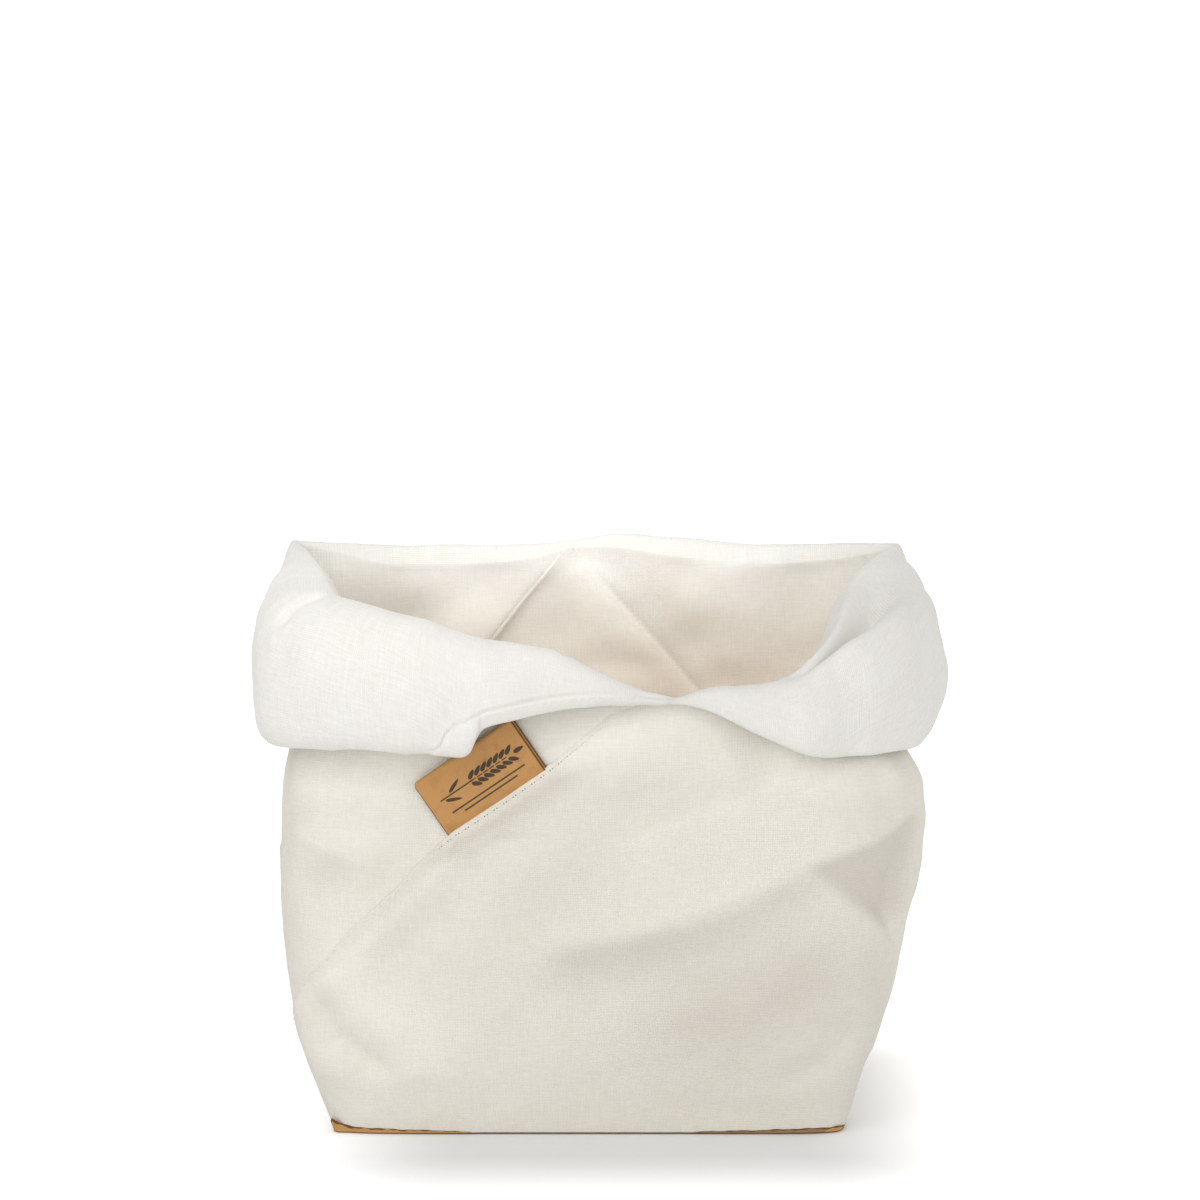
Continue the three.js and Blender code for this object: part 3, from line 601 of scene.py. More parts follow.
def cloth_solid(name, outer, inner, uv, mat, n_outer, n_inner, painted_bounce_outer, painted_bounce_inner):
    """A cloth of two faces and closed edges. outer and inner are (rows, cols, 3) in mm."""
    rows, cols = outer.shape[:2]
    n = rows * cols
    f1 = sheet_faces(rows, cols)
    a, b, c = outer[rows // 2, cols // 2], outer[rows // 2 + 1, cols // 2], outer[rows // 2, cols // 2 + 1]
    if np.cross(b - a, c - a) @ n_outer[rows // 2, cols // 2] < 0:
        f1 = f1[:, ::-1]
    f2 = f1[:, ::-1] + n
    idx = np.arange(n).reshape(rows, cols)
    around = np.concatenate([idx[0, :], idx[1:, -1], idx[-1, -2::-1], idx[-2:0:-1, 0]])
    nxt = np.roll(around, -1)
    f3 = np.stack([around, nxt, nxt + n, around + n], -1)
    if f1[0, 0] == 0 and f1[0, 1] == 1 or f1[0, -1] == 1:
        f3 = f3[:, ::-1]
    verts = np.concatenate([outer.reshape(-1, 3), inner.reshape(-1, 3)])
    uvs = np.concatenate([uv.reshape(-1, 2), uv.reshape(-1, 2)])
    flat = np.concatenate([np.ones(len(f1) + len(f2)), np.zeros(len(f3))]).astype(bool)
    obj = make_mesh(name, verts, [f1, f2, f3], uvs, [mat], None, flat)
    # the per-point tone of painted light and shade, read by the linen material
    painted_bounce_tone = obj.data.attributes.new("painted_bounce_tone", "FLOAT", "POINT")
    painted_bounce_tone.data.foreach_set("value", np.concatenate([painted_bounce_outer.reshape(-1), painted_bounce_inner.reshape(-1)]).astype(np.float32))
    normals = np.concatenate([n_outer.reshape(-1, 3), n_inner.reshape(-1, 3)]).astype(np.float32)
    obj.data.normals_split_custom_set_from_vertices(normals)
    return obj


# ------------------------------------------------------------------ materials
def new_material(name):
    m = bpy.data.materials.new(name)
    m.use_nodes = True
    nt = m.node_tree
    return m, nt, nt.nodes["Principled BSDF"]


def linen(name, tint=(0.90, 0.885, 0.845), turn=0.0):
    m, nt, bsdf = new_material(name)
    N, L = nt.nodes, nt.links

    def node(kind, **kw):
        n = N.new(kind)
        for k, v in kw.items():
            setattr(n, k, v)
        return n

    def math_node(op, a, b=None):
        n = node("ShaderNodeMath", operation=op)
        for i, v in enumerate((a, b)):
            if v is None:
                continue
            if isinstance(v, (int, float)):
                n.inputs[i].default_value = v
            else:
                L.new(v, n.inputs[i])
        return n.outputs[0]

    uv = node("ShaderNodeUVMap", uv_map="cloth")
    warp = node("ShaderNodeTexNoise")
    warp.inputs["Scale"].default_value = 60
    warp.inputs["Detail"].default_value = 2
    L.new(uv.outputs[0], warp.inputs["Vector"])
    shift = node("ShaderNodeVectorMath", operation="MULTIPLY_ADD")
    L.new(warp.outputs["Color"], shift.inputs[0])
    shift.inputs[1].default_value = (0.0011, 0.0011, 0)
    L.new(uv.outputs[0], shift.inputs[2])
    turned = node("ShaderNodeMapping")
    turned.inputs["Rotation"].default_value = (0, 0, math.radians(turn))
    L.new(shift.outputs[0], turned.inputs["Vector"])
    split = node("ShaderNodeSeparateXYZ")
    L.new(turned.outputs[0], split.inputs[0])

    pitch = 0.00056
    k = math.pi / pitch
    su = math_node("SINE", math_node("MULTIPLY", split.outputs[0], k))
    sv = math_node("SINE", math_node("MULTIPLY", split.outputs[1], k))
    over = math_node("MULTIPLY", su, sv)            # over and under, from -1 to 1
    warp_thread = math_node("POWER", math_node("ABSOLUTE", su), 0.6)
    weft_thread = math_node("POWER", math_node("ABSOLUTE", sv), 0.6)
    crossing = math_node("MULTIPLY", warp_thread, weft_thread)
    weave = math_node("ADD", math_node("MULTIPLY", over, 0.35), crossing)

    def slub(scale_u, scale_v, detail):
        mp = node("ShaderNodeMapping")
        mp.inputs["Scale"].default_value = (scale_u, scale_v, 1)
        L.new(turned.outputs[0], mp.inputs["Vector"])
        t = node("ShaderNodeTexNoise")
        t.inputs["Scale"].default_value = 1.0
        t.inputs["Detail"].default_value = detail
        t.inputs["Roughness"].default_value = 0.6
        L.new(mp.outputs[0], t.inputs["Vector"])
        return t.outputs["Fac"]

    slub_u = slub(1500, 150, 2)
    slub_v = slub(150, 1500, 2)
    slubs = math_node("ADD", slub_u, slub_v)
    speck = slub(2100, 2100, 2)
    cloud = node("ShaderNodeTexNoise")
    cloud.inputs["Scale"].default_value = 28
    cloud.inputs["Detail"].default_value = 4
    L.new(uv.outputs[0], cloud.inputs["Vector"])

    tone = math_node("ADD", math_node("MULTIPLY", math_node("SUBTRACT", slubs, 0.44), 0.5), math_node("MULTIPLY", cloud.outputs["Fac"], 0.30))
    patch = node("ShaderNodeTexNoise")
    patch.inputs["Scale"].default_value = 22
    patch.inputs["Detail"].default_value = 2
    L.new(uv.outputs[0], patch.inputs["Vector"])
    open_weave = node("ShaderNodeMapRange")
    for key, value in (("From Min", 0.38), ("From Max", 0.62), ("To Min", 0.35), ("To Max", 1.9)):
        open_weave.inputs[key].default_value = value
    L.new(patch.outputs["Fac"], open_weave.inputs["Value"])
    grain = math_node("ADD", math_node("MULTIPLY", crossing, 0.30), math_node("MULTIPLY", speck, 0.34))
    # the per-point attribute of open weave and painted shade: it raises the grain contrast; where it is positive it
    # darkens the cloth as painted shade, and where it is negative it lightens the cloth as painted light
    open_weave_and_painted_shade = node("ShaderNodeAttribute", attribute_name="open_weave_and_painted_shade")
    contrast = math_node("ADD", open_weave.outputs[0], math_node("MULTIPLY", open_weave_and_painted_shade.outputs["Fac"], 1.6))
    tone = math_node("ADD", tone, math_node("MULTIPLY", math_node("SUBTRACT", grain, 0.36), contrast))
    tone = math_node("ADD", tone, 0.30)
    ramp = node("ShaderNodeValToRGB")
    ramp.color_ramp.elements[0].position = 0.42
    ramp.color_ramp.elements[1].position = 0.98
    ramp.color_ramp.elements[0].color = (tint[0] * 0.90, tint[1] * 0.885, tint[2] * 0.85, 1)
    ramp.color_ramp.elements[1].color = (min(1, tint[0] * 1.05), min(1, tint[1] * 1.055), min(1, tint[2] * 1.065), 1)
    L.new(tone, ramp.inputs["Fac"])
    painted_bounce_tone = node("ShaderNodeAttribute", attribute_name="painted_bounce_tone")
    # painted light and shade: 0 on the roll, 1 on the wall, which is made a little darker and warmer than the roll, 2
    # inside, which is made warmer still, for the warm light bounced about inside the bag
    wall = node("ShaderNodeMix", data_type="RGBA", blend_type="MULTIPLY")
    L.new(painted_bounce_tone.outputs["Fac"], wall.inputs["Factor"])
    L.new(ramp.outputs["Color"], wall.inputs[6])
    wall.inputs[7].default_value = (0.955, 0.935, 0.89, 1)
    warm = node("ShaderNodeMix", data_type="RGBA", blend_type="MULTIPLY")
    L.new(math_node("SUBTRACT", painted_bounce_tone.outputs["Fac"], 1.0), warm.inputs["Factor"])
    L.new(wall.outputs[2], warm.inputs[6])
    warm.inputs[7].default_value = (1.06, 0.988, 0.937, 1)
    # painted shade and light: the colour is multiplied darker by the attribute of open weave and painted shade, and
    # lighter where that attribute is negative
    sheer_and_painted_shade = node("ShaderNodeMix", data_type="RGBA", blend_type="MULTIPLY", clamp_factor=False)
    L.new(open_weave_and_painted_shade.outputs["Fac"], sheer_and_painted_shade.inputs["Factor"])
    L.new(warm.outputs[2], sheer_and_painted_shade.inputs[6])
    sheer_and_painted_shade.inputs[7].default_value = (0.87, 0.857, 0.85, 1)
    L.new(sheer_and_painted_shade.outputs[2], bsdf.inputs["Base Color"])

    rough = node("ShaderNodeMapRange")
    rough.inputs["To Min"].default_value = 0.82
    rough.inputs["To Max"].default_value = 0.98
    L.new(slubs, rough.inputs["Value"])
    L.new(rough.outputs[0], bsdf.inputs["Roughness"])
    bsdf.inputs["Specular IOR Level"].default_value = 0.25
    bsdf.inputs["Sheen Weight"].default_value = 0.12
    bsdf.inputs["Sheen Roughness"].default_value = 0.5

    height = math_node("ADD", math_node("MULTIPLY", weave, 0.5), math_node("MULTIPLY", slubs, 0.55))
    bump = node("ShaderNodeBump")
    bump.inputs["Strength"].default_value = 0.55
    bump.inputs["Distance"].default_value = 0.00022
    L.new(height, bump.inputs["Height"])
    L.new(bump.outputs[0], bsdf.inputs["Normal"])
    return m


def kraft(name, tint, dark, scale=1.0):
    m, nt, bsdf = new_material(name)
    N, L = nt.nodes, nt.links
    tc = N.new("ShaderNodeTexCoord")

    def noise(s, detail, rough=0.55, stretch=(1, 1, 1)):
        mp = N.new("ShaderNodeMapping")
        mp.inputs["Scale"].default_value = stretch
        L.new(tc.outputs["Object"], mp.inputs["Vector"])
        t = N.new("ShaderNodeTexNoise")
        t.inputs["Scale"].default_value = s * scale
        t.inputs["Detail"].default_value = detail
        t.inputs["Roughness"].default_value = rough
        L.new(mp.outputs[0], t.inputs["Vector"])
        return t.outputs["Fac"]

    mottle = noise(190, 6)
    fibre = noise(900, 4, 0.7, (1, 1, 3.5))
    speck = noise(2600, 2)
    add = N.new("ShaderNodeMath")
    add.operation = "MULTIPLY_ADD"
    L.new(fibre, add.inputs[0])
    add.inputs[1].default_value = 0.6
    L.new(mottle, add.inputs[2])
    add2 = N.new("ShaderNodeMath")
    add2.operation = "MULTIPLY_ADD"
    L.new(speck, add2.inputs[0])
    add2.inputs[1].default_value = 0.4
    L.new(add.outputs[0], add2.inputs[2])
    ramp = N.new("ShaderNodeValToRGB")
    ramp.color_ramp.elements[0].position = 0.62
    ramp.color_ramp.elements[1].position = 1.0
    ramp.color_ramp.elements[0].color = (*dark, 1)
    ramp.color_ramp.elements[1].color = (*tint, 1)
    middle = ramp.color_ramp.elements.new(0.84)
    middle.color = tuple(0.35 * d + 0.65 * t for d, t in zip(dark, tint)) + (1,)
    L.new(add2.outputs[0], ramp.inputs["Fac"])
    L.new(ramp.outputs["Color"], bsdf.inputs["Base Color"])
    rough = N.new("ShaderNodeMapRange")
    rough.inputs["To Min"].default_value = 0.6
    rough.inputs["To Max"].default_value = 0.85
    L.new(mottle, rough.inputs["Value"])
    L.new(rough.outputs[0], bsdf.inputs["Roughness"])
    bsdf.inputs["Specular IOR Level"].default_value = 0.3
    bump = N.new("ShaderNodeBump")
    bump.inputs["Strength"].default_value = 0.5
    bump.inputs["Distance"].default_value = 0.0002
    L.new(add2.outputs[0], bump.inputs["Height"])
    L.new(bump.outputs[0], bsdf.inputs["Normal"])
    return m


M_LINEN = linen("linen_plain_weave")

M_BASE = kraft("washable_paper_base", (0.60, 0.33, 0.12), (0.46, 0.245, 0.088))
# a darker copy of the base paper: painted shade for the right part of the edge, which is seen in shade
M_BASE_SHADED = kraft("washable_paper_painted_shade", (0.33, 0.215, 0.105), (0.17, 0.10, 0.045))
M_LABEL = kraft("washable_paper_label", (0.56, 0.295, 0.105), (0.38, 0.175, 0.055))


# ------------------------------------------------------------------ linen panels
COLS, ROWS = 520, 138
V = np.linspace(0, 1, ROWS)


def across(line, tau, z):
    """Distance on the cloth from a seam line, in mm, positive towards larger tau."""
    size = ring_len(z)
    run = (line(z + 1.0) - line(z - 1.0)) * size / 2.0
    return (tau - line(z)) * size / np.sqrt(1 + run * run)


class Panel:
    """A wall panel from the edge where it lies on top, at start, to its hidden inner edge, at end."""

    def __init__(self, name, start, end, first, last, over, under, ridge, shift):
        self.t0 = on_row(start, V, first)
        self.t1 = on_row(end, V, last)
        fine = np.linspace(0, 1, 4001)
        close = 1 + 4 * np.exp(-fine / 0.008) + 4 * np.exp(-(1 - fine) / 0.008)
        if shift:
            close = close + 0.9 * smooth((fine - 0.74) / 0.06)
        run = np.concatenate([[0], np.cumsum((close[1:] + close[:-1]) / 2)])
        u = np.interp(np.linspace(0, 1, COLS), run / run[-1], fine)
        self.u = u
        tau = self.t0[:, None] + (self.t1 - self.t0)[:, None] * u[None, :]
        z = row_height(tau, V[:, None])
        p = wall_plain(tau, z)
        n = self.facing(p)
        p = p + n * wall_folds(tau, z, p)[..., None]
        n = self.facing(p)
        d_top = across(over, tau, z)
        d_under = across(under, tau, z)
        d_ridge = -across(ridge, tau, z)
        start_z = 151 if shift == 0 else 189
        away = smooth((start_z - 6 - z) / 34)       # the laps flatten out towards the dip
        low = -(0.55 - 0.10 * away)
        high = 0.10 + 0.36 * away
        if shift == 0:
            wrapped = np.where(tau % 1.0 > 0.5, tau % 1.0 - 1, tau % 1.0)
            la, lu = label_place(wrapped * ring_len(z) + 3.0, z)
            over_label = smooth((la + 21.5) / 2.5) * smooth((21.5 - la) / 2.5) * smooth((z - 95) / 4)
            low = low + over_label * 1.45
            high = high + over_label * 1.15
        rise = np.sqrt(1 - (1 - np.clip(d_top / (4.0 - 2.8 * away), 0, 1)) ** 2)
        off = low + (high * (1 - smooth((d_top - 3) / 9)) - low) * rise
        off += 0.35 * smooth(d_ridge / 8 + 0.5) * smooth(d_top / 10) * away
        off -= (0.12 + 0.22 * away) * np.exp(-(np.minimum(d_under, 0) / 5) ** 2) * (d_under <= 0)
        off -= (0.12 + 0.22 * away + 0.42 * smooth(d_under / 2.5)) * (d_under > 0)
        self.outer = p + n * off[..., None]
        self.outer[..., 2] -= 1.05 * (1 - smooth((z - WALL_LOW) / 9))
        self.normal = self.facing(self.outer)
        d_end = np.abs(tau - self.t1[:, None]) * ring_len(z)
        thick = 0.08 + (CLOTH - 0.08) * smooth(np.minimum(d_top, d_end) / 1.2 + 0.05)
        thick[-1] = CLOTH
        self.inner = self.outer - n * thick[..., None]
        self.tau, self.z, self.name = tau, z, name
        # open weave and painted shade and light on the outer face
        self.open_weave_and_painted_shade = weave_and_painted_shade(tau, z)
        turn = tau % 1.0
        d_edge, d_crease = -across(back_inner, turn, z), -across(back_seam, turn, z)
        far = smooth((180 - z) / 14) * smooth((z - 96) / 30)
        # painted shade and light inside the back: dark bands beside the crease and beside the edge of the lap, light
        # flanks next to them, a darker patch beyond the light flank of the edge, and a lighter band under the rim
        self.painted_shade_inside = far * (1.5 * smooth(d_crease / 1.2 + 0.3) * np.exp(-np.clip(d_crease, 0, None) / 7.5)
                                  - 0.9 * np.exp(-((d_crease + 6) / 6) ** 2) * smooth((z - 140) / 20)
                                  + 0.9 * smooth(d_edge / 0.8 + 0.2) * np.exp(-np.clip(d_edge, 0, None) / 3.0)
                                  - 1.1 * np.exp(-((d_edge + 8) / 9) ** 2)
                                  + 0.7 * smooth((-d_edge - 14) / 22) * smooth((188 - z) / 24) * (d_edge < 0))
        self.painted_shade_inside = np.clip(self.painted_shade_inside - 0.3 * smooth((z - rim_z(tau) + 36) / 20) * smooth((rim_z(tau) - 3 - z) / 8), -0.85, 1.6)
        # painted light and shade: the inner face grows warmer deeper into the bag, for the warm light bounced inside
        self.painted_bounce_tone = 0.35 * smooth((rim_z(tau) - 6 - z) / 24) + 0.65 * smooth((rim_z(tau) - 14 - z) / 62)
        self.uv = np.stack([tau * RING_LEN[80], z], -1)

    def make(self, inner_normal):
        n_inner = -self.facing(self.inner)
        n_inner[-1] = inner_normal
        made = cloth_solid(self.name, self.outer, self.inner, self.uv, M_LINEN, self.normal, n_inner,
                           np.ones_like(self.painted_bounce_tone), 2 * self.painted_bounce_tone)
        open_weave_and_painted_shade = made.data.attributes.new("open_weave_and_painted_shade", "FLOAT", "POINT")
        value = np.zeros(len(made.data.vertices), np.float32)
        value[:self.open_weave_and_painted_shade.size] = self.open_weave_and_painted_shade.reshape(-1)
        value[self.open_weave_and_painted_shade.size:2 * self.open_weave_and_painted_shade.size] = self.painted_shade_inside.reshape(-1)
        open_weave_and_painted_shade.data.foreach_set("value", value)
        return made

    @staticmethod
    def facing(p):
        n = grid_normals(p)
        r, c = ROWS // 2, COLS // 2
        return n if n[r, c, 0] * p[r, c, 0] + n[r, c, 1] * p[r, c, 1] > 0 else -n

    def at(self, tau, z, grid):
        """Points of a grid of this panel at places (tau, z)."""
        v = np.clip((z - WALL_LOW) / (wall_high(tau) - WALL_LOW), 0, 1)
        t0, t1 = np.interp(v, V, self.t0), np.interp(v, V, self.t1)
        r = v * (ROWS - 1)
        c = np.interp(np.clip((tau - t0) / (t1 - t0), 0, 1), self.u, np.arange(COLS))
        i, j = np.minimum(r.astype(int), ROWS - 2), np.minimum(c.astype(int), COLS - 2)
        fr, fc = (r - i)[..., None], (c - j)[..., None]
        return ((grid[i, j] * (1 - fc) + grid[i, j + 1] * fc) * (1 - fr)
                + (grid[i + 1, j] * (1 - fc) + grid[i + 1, j + 1] * fc) * fr)


right_panel = Panel("right_linen_cloth", front_seam, back_inner, -0.1, 0.6, front_seam, back_seam, front_inner, 0)
left_panel = Panel("left_linen_cloth", lambda z: back_seam(z) - 1, front_inner, -0.6, 0.1,
                   lambda z: back_seam(z) - 1, front_seam, lambda z: back_inner(z) - 1, 1)

# ------------------------------------------------------------------ rolled cuffs
SOFT = [(0.0, 0.0), (0.2, 0.012), (0.43, 0.07), (0.66, 0.19), (0.85, 0.38), (0.965, 0.58), (1.0, 0.76),
        (0.985, 0.905), (0.93, 0.978), (0.82, 1.0), (0.71, 0.972), (0.64, 0.9), (0.6, 0.76), (0.58, 0.6)]
FLAT = [(0.0, 0.0), (0.24, 0.0), (0.5, 0.015), (0.73, 0.06), (0.89, 0.16), (0.97, 0.33), (1.0, 0.50),
        (0.97, 0.67), (0.86, 0.83), (0.64, 0.96), (0.46, 1.0), (0.36, 0.93), (0.34, 0.78), (0.34, 0.6)]
HEM = [(0.0, 0.0), (0.21, 0.012), (0.45, 0.07), (0.68, 0.18), (0.87, 0.36), (0.97, 0.56), (0.97, 0.77),
       (0.89, 0.92), (0.86, 0.97), (0.83, 1.0), (0.805, 0.985), (0.80, 0.955), (0.80, 0.92), (0.81, 0.87)]
RIDGE = [0.1, -1.25, 0.5, 1.0, 0.45, 0.1, 0, 0, 0, 0, 0, 0, 0, 0]
APEX, EDGE = 2, 11          # places of the rim and of the lower edge among the control points


def catmull(points, t, before):
    """Curve through control points (k, ...) at parameter t from 0 to k - 1, coming from a point before them."""
    k = len(points)
    i = np.clip(np.floor(t).astype(int), 0, k - 2)
    f = (t - i).reshape((-1,) + (1,) * (points.ndim - 1))
    wide = np.concatenate([before[None], points])
    p0, p1 = wide[i], points[i]
    p2, p3 = points[i + 1], points[np.minimum(i + 2, k - 1)]
    return 0.5 * (2 * p1 + (p2 - p0) * f + (2 * p0 - 5 * p1 + 4 * p2 - p3) * f**2 + (3 * p1 - p0 - 3 * p2 + p3) * f**3)


class Cuff:
    def __init__(self, name, panel):
        tau, cols = panel.tau[-1], COLS
        rx, ry, rz = rim_x(tau), rim_y(tau), rim_z(tau)
        nx, ny = rim_out(tau)
        w, low, soft, hem = roll_w(tau), roll_low(tau), rim_soft(tau), hem_part(tau)
        ridge, flat = roll_ridge(tau), roll_flat(tau)
        h = rz - low
        # it goes on from the inside of the wall
        control = [panel.inner[-1], np.stack([rx - nx * 0.52 * soft, ry - ny * 0.52 * soft, rz - 0.17 * soft], -1)]
        before = panel.inner[-1] + (panel.inner[-1] - panel.inner[-2]) * -2.5
        for i, ((ks, fs), (kf, ff), (kh, fh)) in enumerate(zip(SOFT, FLAT, HEM)):
            k, f = ks + (kf - ks) * flat, fs + (ff - fs) * flat
            k, f = k + (kh - k) * hem, f + (fh - f) * hem
            z = rz - f * h + ridge * RIDGE[i]
            foot = wall_plain(tau, np.minimum(z, rz - soft))
            ox, oy = rx + nx * w, ry + ny * w
            a = smooth((f - 0.25) / 0.4)
            x = (rx + nx * w * k) * (1 - a) + (foot[:, 0] + (ox - foot[:, 0]) * k) * a
            y = (ry + ny * w * k) * (1 - a) + (foot[:, 1] + (oy - foot[:, 1]) * k) * a
            control.append(np.stack([x, y, z], -1))
        control = np.array(control)
        rows = 150
        fine = np.linspace(0, len(control) - 1, 1200)
        path = catmull(control, fine, before)
        step = np.linalg.norm(np.diff(path, axis=0), axis=-1).mean(axis=1)
        step = (step + step.mean() * 0.35) * (1 + 0.9 * smooth((fine[1:] - 6.5) / 2) * smooth((13.5 - fine[1:]) / 2))
        run = np.concatenate([[0], np.cumsum(step)])
        t = np.interp(np.linspace(0, run[-1], rows), run, fine)
        p = catmull(control, t, before)
        n = self.facing(p, nx, ny)
        on_top = smooth((t - 0.4) / 3)[:, None]
        room = smooth(w / 12)[None, :]
        lift = (0.9 * waves(p, 58, 18, 21) + 0.35 * waves(p, 26, 20, 22)) * room
        ridged = 1 - np.abs(waves(p, 40, 14, 23))
        lift += 0.5 * np.clip(ridged, -0.4, 1) * smooth(0.5 + 0.8 * waves(p, 70, 10, 24)) * room
        lift += 0.12 * waves(p, 12, 26, 25)
        # creases of the corners
        around = tau * RING_LEN[120]
        for place, depth, width, t_from, t_to in CUFF_CREASES:
            c = tau_near(120, *place)
            gap = ((tau - c + 0.5) % 1.0 - 0.5) * RING_LEN[120]
            part = smooth((t - t_from) / 1.2) * smooth((t_to - t) / 1.2)
            lift -= depth * part[:, None] * np.exp(-(gap / width) ** 2)[None, :]
        # hem: a band of doubled cloth above the lower edge, with its stitched groove
        seg = np.linalg.norm(np.diff(p, axis=0), axis=-1)
        run = np.concatenate([np.zeros((1, cols)), np.cumsum(seg, axis=0)])
        edge_row = int(np.argmin(np.abs(t - EDGE)))
        up = run[edge_row][None, :] - run
        wide = hem_width(tau)[None, :]
        band = smooth((wide - up) / 1.5 + 0.5) * (up > -0.5)
        self.hem_line = wide
        is_hem = smooth((wide - 0.8) / 1.2)
        lift += is_hem * (0.5 * band - 0.55 * np.exp(-((up - wide) / 0.85) ** 2) + 0.2 * np.exp(-((up - wide - 1.8) / 0.8) ** 2))
        lobe = smooth((wide - 5.5) / 3)
        lift += lobe * 1.3 * np.sin(np.pi * np.clip(up / wide, 0, 1)) * (up > 0)
        p = p + n * (lift * on_top)[..., None]
        # the join with the wall is smooth: its row is shared, and so is the direction it faces
        joined = np.concatenate([panel.inner[-6:-1], p])
        n = self.facing(joined, nx, ny)[5:]
        self.first_normal = n[0]
        q = p - n * CLOTH
        q[0] = panel.outer[-1]
        back = -self.facing(q, nx, ny)
        self.outer, self.normal, self.tau, self.t, self.up, self.wide = p, n, tau, t, up, wide[0]
        along = run.mean(axis=1)
        uv = np.stack(np.broadcast_arrays((tau * RING_LEN[80])[None, :], panel.z[-1][None, :] + along[:, None]), -1)
        # painted light and shade: the inside part of the roll takes the warm inside tone below the rim
        painted_bounce_tone = 2 * smooth((rz[None, :] - 6 - p[..., 2]) / 26) * (t < APEX)[:, None]
        self.obj = cloth_solid(name, p, q, uv, M_LINEN, n, back, painted_bounce_tone, np.zeros_like(painted_bounce_tone))

    @staticmethod
    def facing(p, nx, ny):
        n = grid_normals(p)
        r, c = int(p.shape[0] * 0.5), p.shape[1] // 2
        return n if n[r, c, 0] * nx[c] + n[r, c, 1] * ny[c] > 0 else -n


# corners of the roll: place, depth, width, first and last control point
CUFF_CREASES = [
    ((-97, -60), 2.6, 3.2, 2.2, 6.0),
    ((-93, -65), 1.2, 5.0, 4.5, 8.0),
    ((86, -76), 1.3, 2.6, 8.5, 11.5),
    ((111, 66), 1.2, 5.0, 3.0, 8.0),
    ((-104, 62), 1.2, 5.0, 3.0, 8.0),
]
left_cuff = Cuff("left_cuff_cloth", left_panel)
right_cuff = Cuff("right_cuff_cloth", right_panel)
left_panel.obj = left_panel.make(left_cuff.first_normal)
right_panel.obj = right_panel.make(right_cuff.first_normal)

# ------------------------------------------------------------------ bodies
for piece, node in ((right_panel.obj, "right_linen_panel"), (left_panel.obj, "left_linen_panel")):
    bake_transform(piece)
    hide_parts(node)
for piece, node in ((right_cuff.obj, "right_cuff"), (left_cuff.obj, "left_cuff")):
    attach(piece, "cuff")
    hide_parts(node)


# ------------------------------------------------------------------ stitches
def stitches(name, runs, radius, hole=None):
    """Short threads lying on the cloth. runs is a list of (points, normals), each (m, 3) in mm."""
    verts, faces, kinds, count = [], [], [], 0
    around, rings = 7, 6
    ang = 2 * math.pi * np.arange(around) / around
    for points, normals in runs:
        m = len(points)
        t = np.linspace(0, m - 1, rings)
        i = np.minimum(t.astype(int), m - 2)
        f = (t - i)[:, None]
        c = points[i] * (1 - f) + points[i + 1] * f
        n = normals[i] * (1 - f) + normals[i + 1] * f
        along = np.gradient(c, axis=0)
        along /= np.linalg.norm(along, axis=1, keepdims=True)
        n -= along * (n * along).sum(axis=1, keepdims=True)
        n /= np.linalg.norm(n, axis=1, keepdims=True)
        side = np.cross(along, n)
        bow = np.sqrt(np.clip(1 - (2 * np.linspace(0, 1, rings) - 1) ** 2, 0.05, 1))
        centre = c + n * (radius * (1.25 * bow - 0.75))[:, None]
        tube = (centre[:, None, :] + radius * (0.55 + 0.45 * bow)[:, None, None]
                * (np.cos(ang)[None, :, None] * n[:, None, :] + np.sin(ang)[None, :, None] * side[:, None, :]))
        verts.append(tube.reshape(-1, 3))
        base = count
        for r in range(rings - 1):
            for k in range(around):
                faces.append([base + r * around + k, base + (r + 1) * around + k,
                              base + (r + 1) * around + (k + 1) % around, base + r * around + (k + 1) % around])
                kinds.append(0)
        count += rings * around
        verts.append(np.array([c[0] - n[0] * radius, c[-1] - n[-1] * radius]))
        caps = [([base + k for k in range(around)], count), ([base + (rings - 1) * around + k for k in range(around)], count + 1)]
        tri = []
        for loop, tip in caps:
            for k in range(around):
                x, y = loop[k], loop[(k + 1) % around]
                tri.append([x, y, tip] if tip == count else [y, x, tip])
        count += 2
        faces += [[q[0], q[1], q[2], q[2]] for q in tri]
        kinds += [0] * len(tri)
        # painted shade: a small dark disc and cone at both ends of a stitch stand for the shade in the needle hole
        size = hole(c[0]) if hole else 0
        if size > 0.05:
            for e in (0, -1):
                ring_ = c[e] + n[e] * 0.05 + size * (np.cos(ang)[:, None] * along[e] + np.sin(ang)[:, None] * side[e])
                verts.append(np.concatenate([ring_, (c[e] + n[e] * 0.09)[None], (c[e] - n[e] * 0.35)[None]]))
                for k in range(around):
                    x, y = count + k, count + (k + 1) % around
                    faces.append([x, y, count + around, count + around])
                    faces.append([y, x, count + around + 1, count + around + 1])
                    kinds += [1, 1]
                count += around + 2
    quads = [f for f in faces if f[2] != f[3]]
    tris = [f[:3] for f in faces if f[2] == f[3]]
    kind_q = [k for f, k in zip(faces, kinds) if f[2] != f[3]]
    kind_t = [k for f, k in zip(faces, kinds) if f[2] == f[3]]
    return make_mesh(name, np.concatenate(verts), [np.array(quads), np.array(tris)], None,
                     [M_THREAD, M_HOLE_SHADE] if hole else [M_THREAD], kind_q + kind_t)


def cut(points, normals, pitch, length, first=0.0):
    """Runs of a given length along a line, one per pitch."""
    run = np.concatenate([[0], np.cumsum(np.linalg.norm(np.diff(points, axis=0), axis=1))])
    out, at = [], first
    while at + length < run[-1]:
        want = np.linspace(at, at + length, 5)
        out.append(tuple(np.stack([np.interp(want, run, g[:, k]) for k in range(3)], -1) for g in (points, normals)))
        at += pitch
    return out


